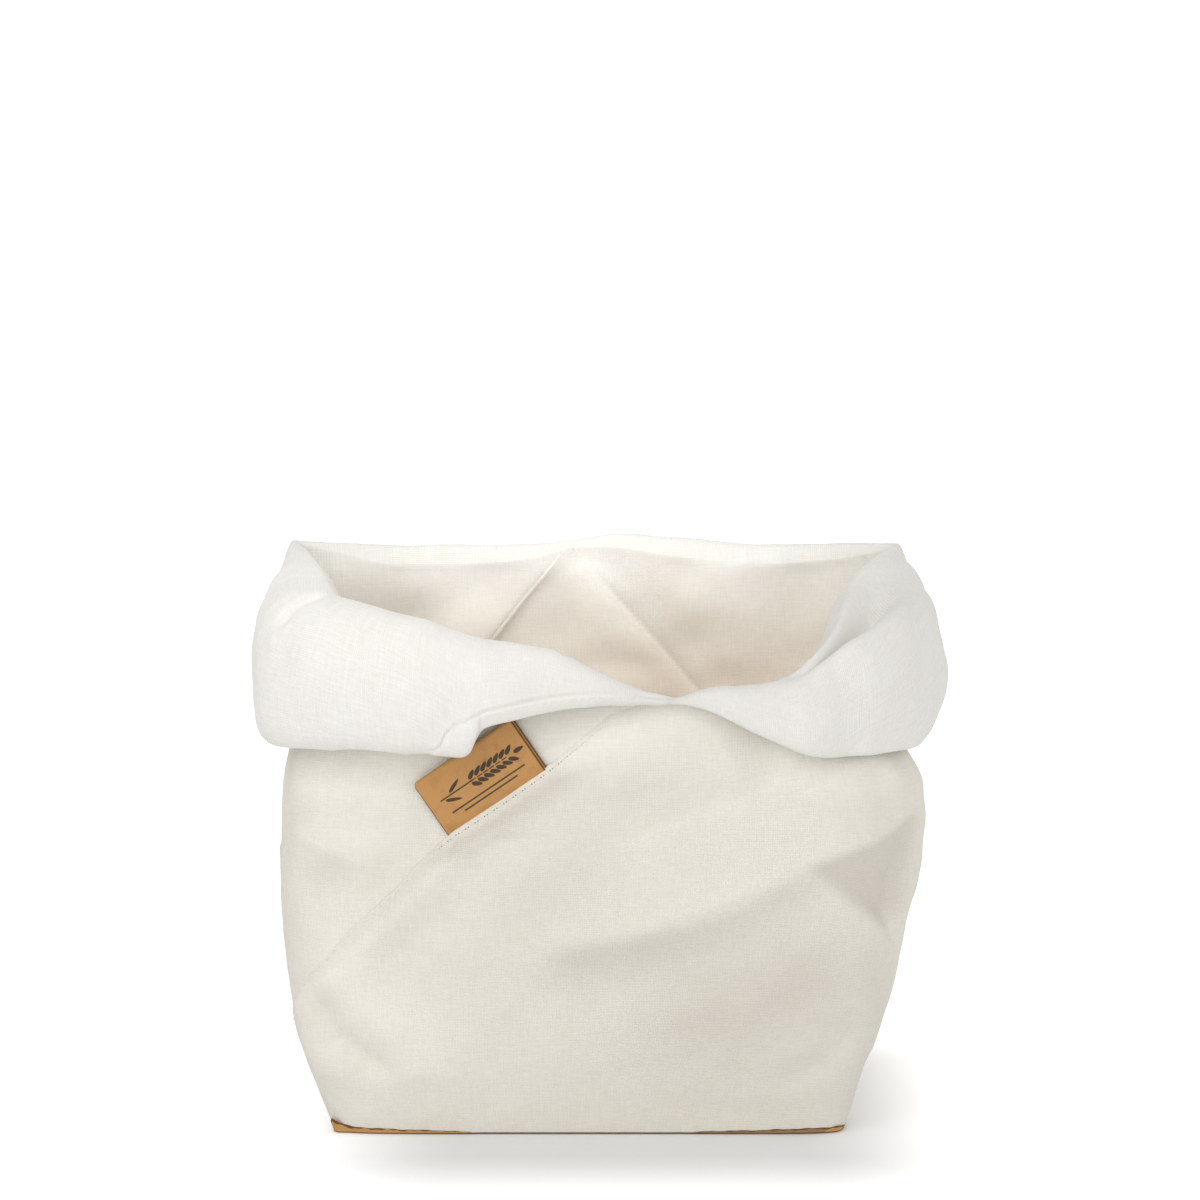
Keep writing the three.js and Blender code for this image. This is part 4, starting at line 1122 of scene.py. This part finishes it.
def seam_line(panel, line, z_low, z_high, inset):
    z = np.linspace(z_high, z_low, 500)
    slope = (line(z + 1.0) - line(z - 1.0)) * ring_len(z) / 2.0
    tau = line(z) + inset * np.sqrt(1 + slope * slope) / ring_len(z)
    return panel.at(tau, z, panel.outer), panel.at(tau, z, panel.normal)


def hem_line(cuff, x_from, x_to, back):
    """The line of the hem on a cuff, between two places in x."""
    rim = np.stack([rim_x(cuff.tau), rim_y(cuff.tau)], -1)
    cols = np.nonzero((rim[:, 0] >= x_from) & (rim[:, 0] <= x_to) & ((rim[:, 1] > 0) == back))[0]
    pts, nrm = [], []
    edge = int(np.argmin(np.abs(cuff.t - EDGE)))
    for c in cols:
        up = cuff.up[:edge + 1, c][::-1]
        want = cuff.wide[c] - 0.9
        k = np.interp(want, up, np.arange(edge, -1, -1))
        i = min(int(k), edge - 1)
        f = k - i
        pts.append(cuff.outer[i, c] * (1 - f) + cuff.outer[i + 1, c] * f)
        nrm.append(cuff.normal[i, c] * (1 - f) + cuff.normal[i + 1, c] * f)
    return np.array(pts), np.array(nrm)


M_THREAD, nt_thread, b_thread = new_material("sewing_thread")
tc_ = nt_thread.nodes.new("ShaderNodeTexCoord")
nz_ = nt_thread.nodes.new("ShaderNodeTexNoise")
nz_.inputs["Scale"].default_value = 2600
nt_thread.links.new(tc_.outputs["Object"], nz_.inputs["Vector"])
rp_ = nt_thread.nodes.new("ShaderNodeValToRGB")
rp_.color_ramp.elements[0].color = (0.74, 0.70, 0.61, 1)
rp_.color_ramp.elements[1].color = (0.90, 0.88, 0.83, 1)
nt_thread.links.new(nz_.outputs["Fac"], rp_.inputs["Fac"])
nt_thread.links.new(rp_.outputs["Color"], b_thread.inputs["Base Color"])
b_thread.inputs["Roughness"].default_value = 0.8
# dark colour of painted shade for the needle holes
M_HOLE_SHADE, nt_hole, b_hole = new_material("needle_hole_painted_shade")
tc_ = nt_hole.nodes.new("ShaderNodeTexCoord")
nz_ = nt_hole.nodes.new("ShaderNodeTexNoise")
nz_.inputs["Scale"].default_value = 1800
nt_hole.links.new(tc_.outputs["Object"], nz_.inputs["Vector"])
rp_ = nt_hole.nodes.new("ShaderNodeValToRGB")
rp_.color_ramp.elements[0].color = (0.16, 0.13, 0.10, 1)
rp_.color_ramp.elements[1].color = (0.34, 0.30, 0.25, 1)
nt_hole.links.new(nz_.outputs["Fac"], rp_.inputs["Fac"])
nt_hole.links.new(rp_.outputs["Color"], b_hole.inputs["Base Color"])
b_hole.inputs["Roughness"].default_value = 0.95

front_line = seam_line(right_panel, front_seam, 8, 141, 1.75)
back_line = seam_line(left_panel, lambda z: back_seam(z) - 1, 8, 176, 1.75)


def needle_mark(place):
    """Size of the dark discs of painted shade in the needle holes: widest where the label is sewn in, closing up
    towards both ends of the seam.
    """
    return 0.23 * float(smooth((place[2] - 96) / 8) * smooth((140 - place[2]) / 12))


front_stitches = stitches("front_seam_stitches", cut(*front_line, 3.8, 2.7), 0.17, needle_mark)
back_stitches = stitches("back_seam_stitches", cut(*back_line, 3.8, 2.7), 0.17)
for piece, node in ((front_stitches, "front_seam_thread"), (back_stitches, "back_seam_thread")):
    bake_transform(piece)
    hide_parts(node)
left_hem = stitches("left_hem_stitches", cut(*hem_line(left_cuff, -36.0, 17.0, False), 3.2, 2.3), 0.15)
right_hem = stitches("right_hem_stitches", cut(*hem_line(right_cuff, 2.0, 52.0, True), 3.2, 2.3), 0.15)
for piece, node in ((left_hem, "left_hem_thread"), (right_hem, "right_hem_thread")):
    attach(piece, "cuff")
    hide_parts(node)


# ------------------------------------------------------------------ paper label
def label_mesh():
    """A strip of paper folded at its top, both leaves caught in the seam, with a printed ear of wheat and two rules."""
    leaf, gap = 0.5, 0.42
    tall = LABEL_TALL
    turn = (leaf + gap) / 2
    # the middle of the paper: up the rear leaf, round the fold and down the front leaf
    rear = [(0.30, u) for u in np.linspace(-2.4, tall - turn - 0.3, 26)]
    fold = [(0.30 + turn - turn * math.cos(a), tall - turn - 0.3 + turn * math.sin(a)) for a in np.linspace(0, math.pi, 11)[1:-1]]
    front = [(0.30 + 2 * turn, u) for u in np.linspace(tall - turn - 0.3, -2.4, 27)]
    mid = np.array(rear + fold + front)
    side = np.array([-1.0] * len(rear) + [0.0] * len(fold) + [1.0] * len(front))
    d = np.gradient(mid, axis=0)
    d /= np.linalg.norm(d, axis=1, keepdims=True)
    n = np.stack([-d[:, 1], d[:, 0]], -1)          # outer side of the folded paper
    if n[2, 0] > 0:
        n = -n
    k = len(mid)
    # along the label, with closer places near the ends
    e = np.concatenate([[-20, -19.92, -19.75, -19.5, -19.0, -18.2], np.linspace(-17, 17, 49), [18.2, 19.0, 19.45, 19.58, 19.75, 19.92, 20.0]])
    m = len(e)
    press = np.clip((3.0 - mid[:, 1]) / 4.5, 0, 1)       # pressed flat where it is sewn in
    o_mid = mid[:, 0] * (1 - 0.45 * smooth(press))
    A, U = np.meshgrid(e, mid[:, 1])
    O = np.broadcast_to(o_mid[:, None], A.shape).copy()
    lean = np.where(side > 0, 1.0, 0.45)[:, None]
    O += lean * (0.35 * np.clip(U / tall, 0, 1) ** 2 * (0.6 + 0.4 * np.cos(A / 20 * 1.4)) + 0.10 * np.sin(A / 7.5 + 0.6) * np.clip(U / tall, 0, 1))
    O -= 0.95 * smooth((1.0 - U) / 2.2)
    # the front leaf is a little shorter at the right end, so that both edges show
    short = np.where(side > 0, 0.9, np.where(side == 0, 0.45, 0.0))[:, None]
    A = A - short * smooth((A + 4) / 24)
    # rounded corners at the fold
    corner = 1.6
    for end in (-1, 1):
        reach = end * A - (20 - corner) + (short * 0.9 if end > 0 else 0)
        top = U - (tall - 0.3 - corner)
        both = (reach > 0) & (top > 0)
        far = np.hypot(reach, top)
        pull = np.where(both & (far > corner), far - corner, 0) / np.maximum(far, 1e-6)
        A = A - end * reach * pull
        U = U - top * pull
    n3 = n[:, 0][:, None, None] * LABEL_OUT + n[:, 1][:, None, None] * LABEL_UP
    centre = (LABEL_MIDDLE + A[..., None] * LABEL_AXIS + O[..., None] * LABEL_OUT + U[..., None] * LABEL_UP)
    edge_round = np.minimum(1, 0.55 + np.minimum(e + 20, 20 - e) / 0.12 * 0.45)[None, :, None]
    outer, inner = centre + n3 * leaf / 2 * edge_round, centre - n3 * leaf / 2 * edge_round
    total = k * m
    f1 = sheet_faces(k, m)
    mid_r, mid_c = len(rear) // 2, m // 2
    q = np.cross(outer[mid_r + 1, mid_c] - outer[mid_r, mid_c], outer[mid_r, mid_c + 1] - outer[mid_r, mid_c])
    if q @ n3[mid_r, 0] < 0:
        f1 = f1[:, ::-1]
    f2 = f1[:, ::-1] + total
    idx = np.arange(total).reshape(k, m)
    loop = np.concatenate([idx[0, :], idx[1:, -1], idx[-1, -2::-1], idx[-2:0:-1, 0]])
    nxt = np.roll(loop, -1)
    f3 = np.stack([loop, nxt, nxt + total, loop + total], -1)
    if f1[0, 0] == 0 and f1[0, 1] == 1 or f1[0, -1] == 1:
        f3 = f3[:, ::-1]
    # the last half millimetre at both ends and the rim faces all round take the dark edge colour: the cut edge, made
    # darker as painted shade
    col = (np.arange(len(f1)) % (m - 1))
    dark = (e[col + 1] > 19.5) | (e[col] < -19.78)
    verts = [outer.reshape(-1, 3), inner.reshape(-1, 3)]
    kinds = [dark.astype(int), dark.astype(int), np.ones(len(f3), int)]
    tris, tri_kind, count = [], [], 2 * total

    # the print lies on the front leaf
    rows_front = len(rear) + len(fold) + np.arange(len(front))
    u_front = mid[rows_front, 1][::-1]

    def on_front(a, u):
        r = np.interp(u, u_front, rows_front[::-1])
        c = np.interp(a + 0.9 * smooth((a + 4) / 24), e, np.arange(m))
        i, j = np.minimum(r.astype(int), k - 2), np.minimum(c.astype(int), m - 2)
        fr, fc = (r - i)[:, None], (c - j)[:, None]
        g = ((outer[i, j] * (1 - fc) + outer[i, j + 1] * fc) * (1 - fr) + (outer[i + 1, j] * (1 - fc) + outer[i + 1, j + 1] * fc) * fr)
        return g + LABEL_OUT * 0.025

    def shape(outline_a, outline_u):
        nonlocal count
        a, u = np.asarray(outline_a, float), np.asarray(outline_u, float)
        pts = on_front(np.concatenate([a, [a.mean()]]), np.concatenate([u, [u.mean()]]))
        low_ = pts - LABEL_OUT * 0.06
        w = len(a)
        verts.append(np.concatenate([pts, low_]))
        area = np.sum(a * np.roll(u, -1) - np.roll(a, -1) * u)
        for i in range(w):
            j = (i + 1) % w
            x, y = (i, j) if area > 0 else (j, i)
            tris.append([count + x, count + y, count + w])
            tris.append([count + w + 1 + y, count + w + 1 + x, count + 2 * w + 1])
            tris.append([count + y, count + x, count + w + 1 + x])
            tris.append([count + y, count + w + 1 + x, count + w + 1 + y])
        tri_kind.extend([2] * (4 * w))
        count += 2 * w + 2

    def grain(a, u, long, wide, turn_):
        ang = 2 * math.pi * np.arange(18) / 18
        x = long / 2 * np.cos(ang)
        y = wide / 2 * np.sin(ang) * (1 - 0.25 * np.cos(ang))
        c_, s_ = math.cos(math.radians(turn_)), math.sin(math.radians(turn_))
        shape(a + x * c_ - y * s_, u + x * s_ + y * c_)

    def rule(a0, a1, u, thick):
        a = np.linspace(a0, a1, 13)
        shape(np.concatenate([a, a[::-1]]), np.concatenate([np.full(13, u - thick / 2), np.full(13, u + thick / 2)]))

    ear_u = 10.4
    rule(-15.5, -3.0, ear_u, 0.5)
    for i in range(7):
        a = -3.4 + i * 2.45
        grain(a + 1.3, ear_u + 1.8, 3.7, 1.5, 34)
        grain(a + 1.3, ear_u - 1.8, 3.7, 1.5, -34)
        if i < 6:
            rule(a, a + 2.0, ear_u, 0.4)
    grain(15.6, ear_u, 3.8, 1.5, 0)
    grain(-9.0, ear_u + 1.9, 5.6, 1.2, 24)
    grain(-11.5, ear_u - 1.9, 5.6, 1.2, -24)
    rule(-14.5, 14.5, 5.0, 0.55)
    rule(-10.5, 10.5, 3.3, 0.55)
    return make_mesh("label_folded_paper", np.concatenate(verts), [np.concatenate([f1, f2, f3]), np.array(tris)], None,
                     [M_LABEL, M_EDGE_AND_SHADE, M_INK], np.concatenate(kinds + [tri_kind]),
                     np.concatenate([np.ones(len(f1) + len(f2)), np.zeros(len(f3) + len(tris))]).astype(bool))


# the dark colour of the paper's cut edge, also used as painted shade: on the label's ends and rims, and on the base
# edge for the shadow line under the cloth
M_EDGE_AND_SHADE = kraft("paper_cut_edge_and_painted_shade", (0.17, 0.085, 0.035), (0.07, 0.032, 0.012))
M_INK = kraft("printing_ink", (0.085, 0.055, 0.035), (0.045, 0.028, 0.018))
label = label_mesh()
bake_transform(label)
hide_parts("paper_label")


# ------------------------------------------------------------------ paper base
def base_mesh():
    """A sheet of paper inside the foot of the cloth. Its edge turns up outside the cloth at the two front corners,
    and its seam allowance stands up inside."""
    m = 1400
    k = np.linspace(0, RING_N, m, endpoint=False).astype(int)
    ox, oy = RING_X[0][k], RING_Y[0][k]
    ring = np.stack([ox, oy], -1)
    total = RING_LEN[0]
    run = np.arange(m) / m * total
    along = np.roll(ring, -1, 0) - np.roll(ring, 1, 0)
    along /= np.linalg.norm(along, axis=1, keepdims=True)
    out2 = np.stack([along[:, 1], -along[:, 0]], -1)
    if (out2 * ring).sum() < 0:
        out2 = -out2

    def from_corner(x, y):
        tip = run[np.argmin(np.hypot(ox - x, oy - y))]
        return (run - tip + total / 2) % total - total / 2

    left, right = from_corner(-90, -73), -from_corner(90, -73)
    ragged = 0.10 * np.sin(run / 1.9) + 0.07 * np.sin(run / 0.83 + 1.0) + 0.06 * np.sin(run / 3.7 + 2)
    h = np.interp(left, [-16, -6, -2.2, 0, 1.0, 3, 6.5, 15, 28, 42, 50], [0, 1.0, 2.6, 5.2, 4.3, 2.9, 2.4, 2.1, 1.5, 0.9, 0])
    h = h + np.interp(right, [-14, -5, 0, 6, 16, 30, 46, 54], [0, 1.2, 2.0, 2.2, 1.9, 1.4, 0.9, 0])
    h = np.where(h > 0, np.clip(h + ragged * smooth(h / 0.6), 0, None), 0)
    shown = smooth(h / 0.55)
    high = np.maximum(0.75, h)

    tau_ring = k / RING_N
    plain_z = np.linspace(WALL_LOW, 20, 200)
    moved_z = plain_z - 1.05 * (1 - smooth((plain_z - WALL_LOW) / 9))

    def at(offset, z):
        """Places at a distance outside the face of the cloth."""
        z = np.broadcast_to(np.asarray(z, float), (m,))
        x, y = on_ring(tau_ring, np.interp(z, moved_z, plain_z))
        return np.concatenate([np.stack([x, y], -1) + out2 * np.broadcast_to(offset, (m,))[:, None], z[:, None]], 1)

    edge = -0.3 + 0.7 * shown + 1.9 * np.exp(-(left / 2.6) ** 2) + 0.6 * np.exp(-(right / 3.0) ** 2)
    fractions = np.linspace(0.1, 0.94, 9)
    flat = lambda z: [np.concatenate([ring * f, np.full((m, 1), z)], 1) for f in fractions]
    loops = flat(0.0) + [at(-1.6, 0.0), at(edge - 0.15, 0.0), at(edge, 0.12)]
    line = np.minimum(0.36, high * 0.4)
    torn = high * np.clip(0.72 + 0.11 * np.sin(run / 1.3) + 0.08 * np.sin(run / 0.57 + 2), 0.55, 0.9)
    loops += [at(edge, z) for z in (line, (line + torn) / 2, torn, high * 0.96)]
    top_row = len(loops)
    loops += [at(edge - 0.1, high), at(edge - 0.5, high)]
    loops += [at(edge - 0.6, np.maximum(high * f, 0.7)) for f in (0.92, 0.5)]
    loops += [at(-2.2, 0.7)] + flat(0.7)[::-1]
    n_rows = len(loops)
    verts = np.concatenate(loops + [np.array([[0, 0, 0.0], [0, 0, 0.7]])])
    a = np.arange(m)
    b = (a + 1) % m
    quads = [np.stack([r * m + a, r * m + b, (r + 1) * m + b, (r + 1) * m + a], -1) for r in range(n_rows - 1)]
    # painted shade: on the right, away from the corner, the main band of the edge takes the darker copy of the paper
    shaded_right = 2 * ((right > 5) & (right < 60))
    # the lowest band of the edge and its torn top take the dark edge colour, partly painted shade; where the edge is
    # not shown, along the middle, the whole edge band is dark, a painted shadow line under the cloth
    kinds = [np.where(shown > 0.1, int(r in (10, 11) or top_row - 2 <= r <= top_row + 1) or shaded_right * int(12 <= r <= 13),
                      int(10 <= r <= top_row + 1)) for r in range(n_rows - 1)]
    tri = np.concatenate([np.stack([a, np.full(m, n_rows * m), b], -1),
                          np.stack([(n_rows - 1) * m + b, np.full(m, n_rows * m + 1), (n_rows - 1) * m + a], -1)])
    # the seam allowance turned up inside
    lip = [(2.7, 0.4), (2.5, 2.6), (2.5, 6.6), (2.65, 7.1), (3.0, 7.25), (3.35, 7.1), (3.5, 6.6), (3.5, 2.6), (4.6, 1.0), (4.6, 0.4)]
    first = len(verts)
    rings = [at(0.55 - inset, z + 0.35 * np.sin(run / 17 + 0.8) * (z > 6)) for inset, z in lip]
    verts = np.concatenate([verts] + rings)
    c = len(rings)
    for r in range(c):
        q = (r + 1) % c
        quads.append(np.stack([first + r * m + a, first + r * m + b, first + q * m + b, first + q * m + a], -1))
        kinds.append(np.zeros(m, int))
    kinds.append(np.zeros(len(tri), int))
    q = verts[quads[0][0]]
    if np.cross(q[1] - q[0], q[2] - q[0])[2] > 0:
        quads = [q[:, ::-1] for q in quads]
        tri = tri[:, ::-1]
    return make_mesh("base_paper_sheet", verts, [np.concatenate(quads), tri], None, [M_BASE, M_EDGE_AND_SHADE, M_BASE_SHADED], np.concatenate(kinds))


base = base_mesh()
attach(base, "bag")
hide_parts("paper_base")
k_ = np.linspace(0, RING_N, 900, endpoint=False).astype(int)
f_ = 1 - 3.52 / np.hypot(RING_X[0][k_], RING_Y[0][k_])
ring_ = np.stack([RING_X[0][k_] * f_, RING_Y[0][k_] * f_, np.full(900, 4.7)], -1)
toward = -np.stack([np.gradient(ring_[:, 1]), -np.gradient(ring_[:, 0]), np.zeros(900)], -1)
toward /= np.linalg.norm(toward, axis=1, keepdims=True)
base_stitches = stitches("base_seam_stitches", cut(ring_, toward, 3.8, 2.7), 0.17)
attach(base_stitches, "bag")
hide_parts("base_seam_thread")


# ------------------------------------------------------------------ floor and backdrop
def disc(name, radius, z, count=96):
    mesh = bpy.data.meshes.new(name)
    mesh.from_pydata([(radius * math.cos(2 * math.pi * i / count), radius * math.sin(2 * math.pi * i / count), z)
                      for i in range(count)], [], [tuple(range(count))])
    obj = bpy.data.objects.new(name, mesh)
    scene.collection.objects.link(obj)
    return obj


floor = disc("floor", 3.0, -0.0002)
m_floor, nt_floor, b_floor = new_material("pale_floor")
b_floor.inputs["Base Color"].default_value = (0.86, 0.86, 0.86, 1)
b_floor.inputs["Roughness"].default_value = 0.9
b_floor.inputs["Specular IOR Level"].default_value = 0.1
b_floor.inputs["Emission Color"].default_value = (1, 1, 1, 1)


def away_from(nt, centre, half, start, end, strength):
    """A value that grows with the distance from a rectangle on the floor."""
    place = nt.nodes.new("ShaderNodeTexCoord")
    last = place.outputs["Object"]
    for operation, value in (("SUBTRACT", (*centre, 0)), ("ABSOLUTE", None), ("SUBTRACT", (*half, 0)), ("MAXIMUM", (0, 0, 0)),
                             ("MULTIPLY", (1, 1, 0)), ("LENGTH", None)):
        step = nt.nodes.new("ShaderNodeVectorMath")
        step.operation = operation
        if value is not None:
            step.inputs[1].default_value = value
        nt.links.new(last, step.inputs[0])
        last = step.outputs["Value" if operation == "LENGTH" else "Vector"]
    glow = nt.nodes.new("ShaderNodeMapRange")
    glow.interpolation_type = "SMOOTHSTEP"
    for key, value in (("From Min", start), ("From Max", end), ("To Min", 0.0), ("To Max", strength)):
        glow.inputs[key].default_value = value
    nt.links.new(last, glow.inputs["Value"])
    return glow.outputs[0]


# painted light: the floor glows more the farther it is from a box round the bag, so it turns white away from the bag
# and keeps its shade only close to it; the glow also lights the bag a little
nt_floor.links.new(away_from(nt_floor, (0.0, -0.06), (0.085, 0.085), -0.01, 0.075, 0.125), b_floor.inputs["Emission Strength"])
floor.data.materials.append(m_floor)

# painted light: a glow seen only by the camera, growing away from a smaller box round the bag, whitens the floor and
# leaves its shadow only near the base
veil = disc("floor_veil", 3.0, -0.0001)
m_veil, nt_veil, b_veil = new_material("floor_veil_white")
clear = nt_veil.nodes.new("ShaderNodeBsdfTransparent")
white = nt_veil.nodes.new("ShaderNodeEmission")
nt_veil.links.new(away_from(nt_veil, (0.015, -0.03), (0.058, 0.068), -0.004, 0.085, 0.62), white.inputs["Strength"])
both = nt_veil.nodes.new("ShaderNodeAddShader")
nt_veil.links.new(clear.outputs[0], both.inputs[0])
nt_veil.links.new(white.outputs[0], both.inputs[1])
nt_veil.links.new(both.outputs[0], nt_veil.nodes["Material Output"].inputs["Surface"])
nt_veil.nodes.remove(b_veil)
veil.data.materials.append(m_veil)
veil.visible_diffuse = veil.visible_glossy = veil.visible_transmission = veil.visible_shadow = False

dome_mesh = bpy.data.meshes.new("backdrop")
rings_, around_ = 24, 48
dome_v = [(8 * math.cos(a) * math.cos(b), 8 * math.cos(a) * math.sin(b), 8 * math.sin(a))
          for a in (-math.pi / 2 + math.pi * (i + 0.5) / rings_ for i in range(rings_))
          for b in (2 * math.pi * j / around_ for j in range(around_))]
dome_f = [(i * around_ + j, i * around_ + (j + 1) % around_, (i + 1) * around_ + (j + 1) % around_, (i + 1) * around_ + j)
          for i in range(rings_ - 1) for j in range(around_)]
dome_mesh.from_pydata(dome_v, [], dome_f)
dome = bpy.data.objects.new("backdrop", dome_mesh)
scene.collection.objects.link(dome)
m_dome, nt_dome, b_dome = new_material("pale_backdrop")
b_dome.inputs["Base Color"].default_value = (1, 1, 1, 1)
b_dome.inputs["Emission Color"].default_value = (1, 1, 1, 1)
b_dome.inputs["Emission Strength"].default_value = 1.0
dome_mesh.materials.append(m_dome)
dome.visible_diffuse = dome.visible_glossy = dome.visible_transmission = dome.visible_shadow = False
dome.visible_volume_scatter = False
